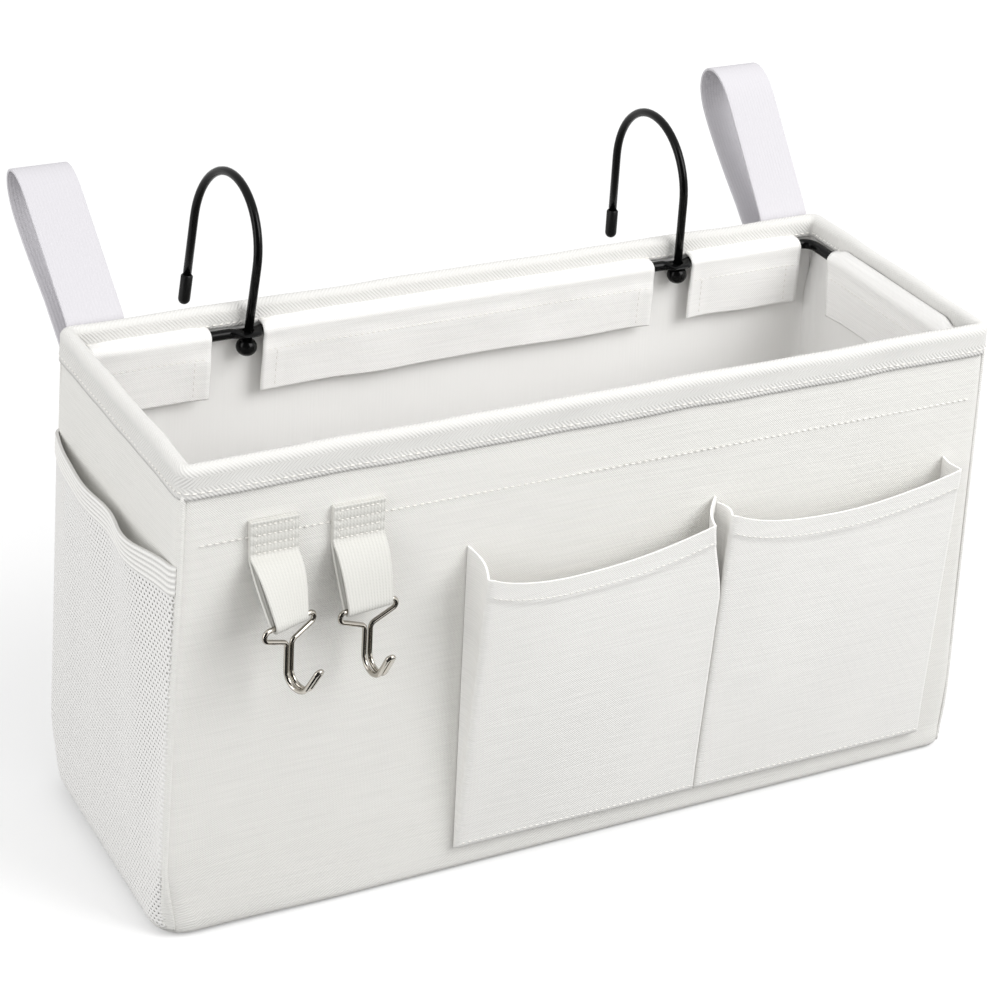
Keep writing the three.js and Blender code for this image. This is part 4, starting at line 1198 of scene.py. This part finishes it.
class CADDY_OT_straps(bpy.types.Operator):
    """Strap loops at the back, each one length of webbing sewn down at both ends"""
    bl_idname = "caddy.straps"
    bl_label = "Strap loops"

    def execute(self, context):
        webbing, tub = caddy().webbing, caddy().tub
        back, face = tub.depth / 2, tub.depth / 2 + 3.4 * MM
        width, sewn = webbing.strap_width, webbing.strap_sewn
        sideways = -0.07  # how far a loop sways for each length it rises
        seams = []
        for side, sign in SIDES.items():
            x = sign * webbing.strap_x
            line = self.line(webbing.left_lean if side == "left" else webbing.right_lean)

            def place(point, across):
                sway = sideways * np.maximum(point[:, 1], 0)
                return np.stack([x - across + sway, back + point[:, 0], tub.height + point[:, 1]], 1)

            piece = ribbon(f"strap_web_{side}", line, width, webbing.strap, place)
            dress(piece, strap_finish(), None, "strap_webbing", f"strap_{side}", f"strap_end_{side}")
            flat = (width, distances(line)[-1])
            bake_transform(piece)
            low = tub.height - webbing.strap_root - sewn
            seams += box_seam(x, width, face, 1, low, sewn, STRAP_ROWS)
        sew("strap_stitches", seams, pitch=2.6 * MM, thread=0.7 * MM)
        return {"FINISHED"}

    def line(self, lean):
        """Line of the webbing, off the panel and above the rim: up, over the crown and down again."""
        webbing, tub = caddy().webbing, caddy().tub
        along = np.array([math.sin(lean), math.cos(lean)])
        across = np.array([along[1], -along[0]])
        over = np.array([2.5 * MM, 0])
        low = -webbing.strap_root - webbing.strap_sewn
        near_root = np.array([1 * MM, -webbing.strap_root])
        far_root = np.array([2.7 * MM, 0.7 * MM - webbing.strap_root])
        near_top = over + along * webbing.strap_run
        far_top = near_top + across * webbing.strap_loop
        crown = along * 25 * MM
        slack = far_top - along * webbing.strap_run / 3
        leaving_lean = math.radians(50)
        foot = np.array([math.sin(leaving_lean), math.cos(leaving_lean)])
        leaving = far_root + foot * webbing.strap_run / 3
        points = np.concatenate([
            [(near_root[0], low), near_root, (over[0], -tub.tape_outer), over],
            bezier(near_top, near_top + crown, far_top + crown, far_top),
            bezier(far_top, slack, leaving, far_root)[1:],
            [(far_root[0], low)]])
        return smooth_line(points, 1.2 * MM, 2 * MM)


# Pockets

class CADDY_OT_front_pockets(bpy.types.Operator):
    """Front pockets: lofted cloth with folded gussets, a hem and a mouth that hangs through"""
    bl_idname = "caddy.front_pockets"
    bl_label = "Front pockets"

    # Shares across the cloth where a gusset ends and where the front begins
    GUSSET, CORNER = 0.1, 0.16

    def execute(self, context):
        pocket = caddy().pocket
        touch, foot_seam = 0.45 * MM, 4 * MM
        left, right, width = pocket.left, pocket.right, pocket.width
        shapes = {
            "left": {
                "left": left, "right": left + width + touch, "slant": pocket.slant,
                "pleats": (2.2 * MM, 2 * MM),
                "gape": pocket.gape, "drop": pocket.drop, "pull": pocket.pull},
            "right": {
                "left": right - touch, "right": right + width, "slant": 0,
                "pleats": (2 * MM, 1.2 * MM),
                "gape": 0, "drop": 0, "pull": 0},
        }
        seams = []
        for side, shape in shapes.items():
            place = self.surface(**shape)
            piece = cloth(f"pocket_{side}", 130, 110, place)
            applied(piece, "SOLIDIFY", thickness=pocket.cloth, offset=-1)
            bpy.ops.object.shade_smooth_by_angle(angle=SOFT_CREASE)
            dress(piece, pocket_finish(), "tub", "canvas", f"front_pocket_{side}")
            share = np.linspace(0.15, 0.85, 160)
            hem = 1 - (pocket.hem - 1.2 * MM) / pocket.height
            for up in (hem, foot_seam / pocket.height):
                seams.append((place(share, up + 0 * share)[0], np.array([0, -1.0, 0])))
        sew("pocket_stitches", seams, pitch=3 * MM, thread=0.6 * MM)
        return {"FINISHED"}

    def surface(self, left, right, slant, pleats, gape, drop, pull):
        """Surface of a pocket from shares across and up: gusset, corner, front, corner, gusset."""
        pocket, front = caddy().pocket, -caddy().tub.depth / 2
        gusset, corner = self.GUSSET, self.CORNER
        mouth = pocket.foot + pocket.height
        start, edge, full, fold = 0.9 * MM, 2.6 * MM, 0.9 * MM, 0.5 * MM

        def place(u, v):
            share = np.clip((u - corner) / (1 - 2 * corner), 0, 1)
            sides = [np.clip(u / gusset, 0, 1), np.clip((1 - u) / gusset, 0, 1)]
            hang = 4 * share ** 0.85 * (1 - share ** 0.85)
            top = mouth - pocket.sag * hang - drop * (2 * np.minimum(*sides) - 1)
            z = pocket.foot + v * (top - pocket.foot)
            up = (z - pocket.foot) / pocket.height
            toe = np.clip((z - pocket.foot) / (3 * MM), 0, 1)
            stand = pocket.mouth + gape * (1 - share) ** 2
            depth = (pocket.toe + (stand - pocket.toe) * up) * np.sqrt(1 - (1 - toe) ** 2) + start
            radius = np.minimum(edge, depth * 0.45)
            x_left = left * flare_at(z) + slant * (1 - up)
            x_wall = right * flare_at(z)
            x_right = x_wall - pull * smoothstep(0.7, 1, up)
            wide = x_right - x_left
            bends = [np.clip((s - gusset) / (corner - gusset), 0, 1) * math.pi / 2 for s in (u, 1 - u)]
            pleat = [deep * np.sin(math.pi * s) * up for deep, s in zip(pleats, sides)]
            xs = [
                x_left + pleat[0],
                x_left + radius * (1 - np.cos(bends[0])),
                x_left + radius + share * (wide - 2 * radius),
                x_right - radius * (1 - np.cos(bends[1])),
                x_wall + (x_right - x_wall) * sides[1] - pleat[1]]
            middle = share * (1 - share)
            swell = full * 4 * middle * np.sin(math.pi * np.clip(up, 0, 1)) ** 0.7
            uneven = 0.5 * MM * ripple(x_left + share * wide, z * 0.7, 20 * MM) * np.sqrt(middle) * 2
            offs = [
                start + sides[0] * (depth - radius - start),
                depth - radius * (1 - np.sin(bends[0])),
                depth + swell + uneven * toe,
                depth - radius * (1 - np.sin(bends[1])),
                start + sides[1] * (depth - radius - start)]
            part = np.searchsorted([gusset, corner, 1 - corner, 1 - gusset], u, side="left")
            x, off = np.choose(part, xs), np.choose(part, offs)
            hem = smoothstep(pocket.hem + 0.6 * MM, pocket.hem, top - z)
            off = off + fold * hem * np.clip(off / (4 * MM), 0, 1)
            flat = np.where(part < 2, x_left + off - depth, np.where(part > 2, x_right + depth - off, x))
            return np.stack([x, front - off, z], 1), np.stack([flat, z], 1)

        return place


def end_face(side, across, z):
    """Points of an end pocket, held along the upright edges and standing off more towards its mouth."""
    tub, pocket = caddy().tub, caddy().pocket
    stand, fold_depth, fold_drift = 0.7 * MM, 1.1 * MM, 60 * MM
    back_left, front_left, front_right, back_right = edge_radii(z)
    front, back = (front_left, back_left) if side < 0 else (front_right, back_right)
    radius = front + (back - front) * (across + 1) / 2
    y = across * (tub.depth / 2 - radius * (1 - math.sqrt(0.5)))
    share = np.clip((z - pocket.net_foot) / pocket.net_height, 0, 1.07)
    held = np.clip(1 - across ** 2, 0, 1)
    gape = 0.76 - 0.2 * np.cos(math.tau * (across - 0.02))
    bow = pocket.net_bow * held ** 0.7 * share ** 1.5 * gape
    folds = fold_depth * held * share * (1 + np.sin(8.5 * across + 1.2 * np.sin(z / fold_drift)))
    past = np.maximum(np.abs(y) - (tub.depth / 2 - radius), 0)
    turn = radius - np.sqrt(np.maximum(radius ** 2 - past ** 2, 0))
    x = tub.length / 2 * flare_at(z) - turn + stand + bow + folds
    if side < 0:
        x -= drawn_in(z) * (TOE_FRONT + (1 - TOE_FRONT) * (across + 1) / 2)
    return np.stack([side * x, y, z], 1)


class CADDY_OT_end_pockets(bpy.types.Operator):
    """End pockets: knitted net with ribbed elastic at its mouth, sewn into welts along the upright edges"""
    bl_idname = "caddy.end_pockets"
    bl_label = "End pockets"

    FLAT_WIDTH = 0.145  # of the net and of the elastic, before they are sewn in
    CLOTH_SHARE = 0.85  # of the net's area, the rest is holes
    HOLE_SHARE = 0.42  # radius of a hole, as a share of its mesh

    def execute(self, context):
        for name, side in SIDES.items():
            self.net(name, side)
            self.elastic(name, side)
        for corner, leg in (("back_left", 1), ("front_left", 3), ("front_right", 5), ("back_right", 7)):
            self.welt(corner, leg)
        return {"FINISHED"}

    def net(self, name, side):
        """Sheet of six-sided meshes, each row set off by half a mesh."""
        pocket, wide = caddy().pocket, caddy().tub.depth
        columns = int(wide / pocket.net_cell)
        cell = wide / (columns + 0.5)
        radius, pitch = cell / math.sqrt(3), cell * math.sqrt(3) / 2
        row, column = np.mgrid[0:int((pocket.net_height + 1 * MM) / pitch), 0:columns]
        middle = np.stack([
            (column + 0.5 + 0.5 * (row % 2)) * cell - wide / 2, pocket.net_foot + (row + 0.5) * pitch], 2)
        middle = middle.reshape(-1, 1, 2)
        spokes = np.radians(np.arange(30, 390, 60))
        spokes = radius * np.stack([np.cos(spokes), np.sin(spokes)], 1)
        flat = np.concatenate([middle + spokes, middle + self.HOLE_SHARE * spokes]).reshape(-1, 2)
        count = len(flat) // 2
        first = np.arange(count)
        after = first - first % 6 + (first + 1) % 6
        faces = np.stack([first, after, after + count, first + count], 1)[:, ::side]
        across = np.clip(flat[:, 0] / (wide / 2), -1, 1)
        points = end_face(side, across, flat[:, 1])
        piece = merged(meshed(f"net_{name}", points.tolist(), [], faces.tolist()))
        applied(piece, "SOLIDIFY", thickness=pocket.net_thread, offset=0)
        dress(piece, net_finish(), "tub", "net", f"side_mesh_{name}")

    def elastic(self, name, side):
        """Band at the mouth of a net, with ribs along it, taller towards the front."""
        pocket = caddy().pocket
        mouth = pocket.net_foot + pocket.net_height
        rib, taller = 0.4 * MM, 3 * MM

        def band(u, v):
            across = side * (2 * u - 1)
            z = mouth + v * (pocket.elastic_height + taller * smoothstep(-0.3, -1, across))
            points = end_face(side, across, z)
            ribs = np.sin(math.pi * ELASTIC_RIBS * v) ** 2
            points[:, 0] += side * (pocket.elastic * 0.5 + rib * ribs)
            return points, np.stack([points[:, 1], v * pocket.elastic_height], 1)

        piece = cloth(f"elastic_{name}", 90, 64, band)
        applied(piece, "SOLIDIFY", thickness=pocket.elastic, offset=-1)
        bpy.ops.object.shade_smooth_by_angle(angle=SOFT_CREASE)
        dress(piece, elastic_finish(), "tub", "elastic", f"side_elastic_{name}")

    def welt(self, corner, leg):
        """Half-round welt along an upright edge, where the panels and the net are sewn together."""
        tub = caddy().tub
        stops = rim_stops(EDGE_SPAN)
        low, high = 4 * MM, tub.height - tub.tape_outer + 1 * MM
        stand, swell, thickness = 0.4 * MM, 1 * MM, 0.8 * MM

        def place(u, v):
            share = stops[leg] + (stops[leg + 1] - stops[leg]) * (0.5 + 0.3 * (u - 0.5))
            z = low + v * (high - low)
            points, out, run = around(share, 0 * u, z)
            lift = stand + swell * np.sin(math.pi * u) ** 0.7 * smoothstep(low, low + 20 * MM, z)
            points += out * lift[:, None]
            return points, np.stack([run, z], 1)

        piece = cloth(f"welt_{corner}", 8, 100, place)
        applied(piece, "SOLIDIFY", thickness=thickness, offset=-1)
        dress(piece, canvas_finish(), "tub", "canvas")


# Stage

class CADDY_OT_stage(bpy.types.Operator):
    """Pale floor, soft lamps, dark cards and the camera of the photograph"""
    bl_idname = "caddy.stage"
    bl_label = "Stage"

    # Place and width in metres and power in watts of each lamp
    LAMPS = {"left_lamp": ((-2.0, -0.4, 0.9), 1.6, 20), "right_lamp": ((0.9, -1.1, 1.3), 1.2, 25)}
    AIM = Vector((0, 0, 0.1))  # what the lamps point at
    SKY = 0.81  # strength of the light from all round
    BOUNCE, PAINT = (0.3, 0.3, 0.3), (0.75, 0.75, 0.75)  # floor as it throws light back, and as it shows

    def execute(self, context):
        bpy.ops.object.select_all(action="DESELECT")
        bpy.ops.mesh.primitive_plane_add(size=12)
        floor = bpy.context.object
        floor.name = "floor"
        floor.data.materials.append(self.floor_paint())
        lamps = [self.lamp(name, *lamp) for name, lamp in self.LAMPS.items()]
        camera = self.camera()
        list(self.cards(camera))
        self.sky(context.scene)
        context.scene.view_settings.view_transform = "Standard"
        return {"FINISHED"}

    def lamp(self, name, place, width, power):
        """Square lamp that points at the caddy."""
        bpy.ops.object.light_add(type="AREA", location=place)
        lamp = bpy.context.object
        lamp.name = name
        lamp.data.size = width
        lamp.data.energy = power
        lamp.rotation_euler = (self.AIM - Vector(place)).to_track_quat("-Z", "Y").to_euler()
        return lamp

    def camera(self):
        """Camera that looks at the middle of the tub as the photograph does."""
        stage = caddy().stage
        out, up = math.cos(stage.elevation), math.sin(stage.elevation)
        back = Vector((math.sin(stage.azimuth) * out, -math.cos(stage.azimuth) * out, up))
        right = Vector((0, 0, 1)).cross(back).normalized()
        rolled = Matrix.Rotation(stage.roll, 3, back)
        turn = Matrix((rolled @ right, rolled @ back.cross(right), back)).transposed()
        middle = Vector((0, 0, 0.1124))
        bpy.ops.object.camera_add()
        camera = bpy.context.object
        camera.matrix_world = Matrix.Translation(
            middle + turn @ Vector((stage.aside, stage.above, stage.distance))) @ turn.to_4x4()
        camera.data.lens = stage.lens
        camera.data.sensor_width = 36
        camera.data.clip_end = 50
        bpy.context.scene.camera = camera
        return camera

    def cards(self, camera):
        """Dark cards behind and below the lens, so that bright wires get a dark core."""
        lens = camera.matrix_world.translation
        level = Vector((lens.x, lens.y, 0))
        facing, lying = (way.to_track_quat("Z", "Y") for way in (level, Vector((0, 0, 1))))
        return [
            self.card("upright_card", level * 1.1 + Vector((0, 0, 1.2)), facing, 2.4),
            self.card("floor_card", level * 0.62 + Vector((0, 0, 0.002)), lying, 0.95)]

    def card(self, name, place, turn, width):
        """Card that is seen only in mirror images."""
        bpy.ops.mesh.primitive_plane_add(size=width, location=place, rotation=turn.to_euler())
        card = bpy.context.object
        card.name = name
        card.visible_camera = False
        card.visible_diffuse = False
        card.visible_shadow = False
        card.visible_transmission = False
        card.data.materials.append(finish("Studio card, black felt", linear("0a0a0a"), 1.0)[0])
        return card

    def shown(self, paint):
        """Share that is 1 for rays that show the stage itself: to the lens, in mirrors and through glass."""
        rays = node(paint, "ShaderNodeLightPath").node.outputs
        seen = reckon(paint, "MAXIMUM", rays["Is Camera Ray"], rays["Is Glossy Ray"])
        return reckon(paint, "MAXIMUM", seen, rays["Is Transmission Ray"])

    def floor_paint(self):
        # White studio floor that keeps a faint shadow round the tub, and glows more where the lamps no
        # longer reach. It throws little light back up, so that the caddy is lit from above.
        floor = bpy.data.materials.new("White studio floor, painted")
        floor.use_nodes = True
        floor.node_tree.nodes.clear()
        place = node(floor, "ShaderNodeNewGeometry")
        away = node(floor, "ShaderNodeVectorMath", {0: place}, operation="LENGTH").node.outputs["Value"]
        fading = {"Value": away, "From Min": 0.7, "From Max": 2.2, "To Min": 0.2, "To Max": 0.6}
        glow = reckon(floor, "MULTIPLY", self.shown(floor), node(floor, "ShaderNodeMapRange", fading))
        white = mixed(floor, self.shown(floor), self.BOUNCE, self.PAINT)
        paint = node(floor, "ShaderNodeBsdfDiffuse", {"Color": white})
        light = node(floor, "ShaderNodeEmission", {"Strength": glow})
        both = node(floor, "ShaderNodeAddShader", {0: paint, 1: light})
        node(floor, "ShaderNodeOutputMaterial", {"Surface": both})
        return floor

    def sky(self, scene):
        # White to the lens, soft light on the caddy.
        world = bpy.data.worlds.new("Studio")
        scene.world = world
        world.use_nodes = True
        world.node_tree.nodes.clear()
        strength = reckon(world, "MAXIMUM", self.shown(world), self.SKY)
        sky = node(world, "ShaderNodeBackground", {"Color": (1, 1, 1, 1), "Strength": strength})
        node(world, "ShaderNodeOutputWorld", {"Surface": sky})


class CADDY_PT_panel(bpy.types.Panel):
    """Steps that model the caddy, and its sizes and colours"""
    bl_idname = "CADDY_PT_panel"
    bl_label = "Bedside caddy"
    bl_space_type = "VIEW_3D"
    bl_region_type = "UI"
    bl_category = "Caddy"

    def draw(self, context):
        for step in STEPS:
            self.layout.operator(step.bl_idname)
        for group in ("tub", "wire", "webbing", "pocket", "colours", "stage"):
            settings = getattr(context.scene.caddy, group)
            box = self.layout.box()
            box.label(text=settings.bl_rna.name)
            for key in settings.__annotations__:
                box.prop(settings, key)


STEPS = (
    CADDY_OT_canvas_tub, CADDY_OT_lining_bag, CADDY_OT_rim_tape, CADDY_OT_casings, CADDY_OT_frame_rod,
    CADDY_OT_rail_hooks, CADDY_OT_straps, CADDY_OT_tabs, CADDY_OT_accessory_hooks, CADDY_OT_front_pockets,
    CADDY_OT_end_pockets, CADDY_OT_stage,
)
GROUPS = (TubSizes, WireSizes, WebbingSizes, PocketSizes, Colours, StageSizes, Caddy)
CLASSES = (*GROUPS, *STEPS, CADDY_PT_panel)


def register():
    for kind in CLASSES:
        bpy.utils.register_class(kind)
    bpy.types.Scene.caddy = bpy.props.PointerProperty(
        name="Caddy", description="Sizes and colours of the caddy", type=Caddy)


def unregister():
    del bpy.types.Scene.caddy
    for kind in reversed(CLASSES):
        bpy.utils.unregister_class(kind)


def main():
    register()
    bpy.ops.caddy.canvas_tub()
    bpy.ops.caddy.lining_bag()
    bpy.ops.caddy.rim_tape()
    bpy.ops.caddy.casings()
    bpy.ops.caddy.frame_rod()
    bpy.ops.caddy.rail_hooks()
    bpy.ops.caddy.straps()
    bpy.ops.caddy.tabs()
    bpy.ops.caddy.accessory_hooks()
    bpy.ops.caddy.front_pockets()
    bpy.ops.caddy.end_pockets()
    bpy.ops.caddy.stage()


if __name__ == "__main__":
    main()
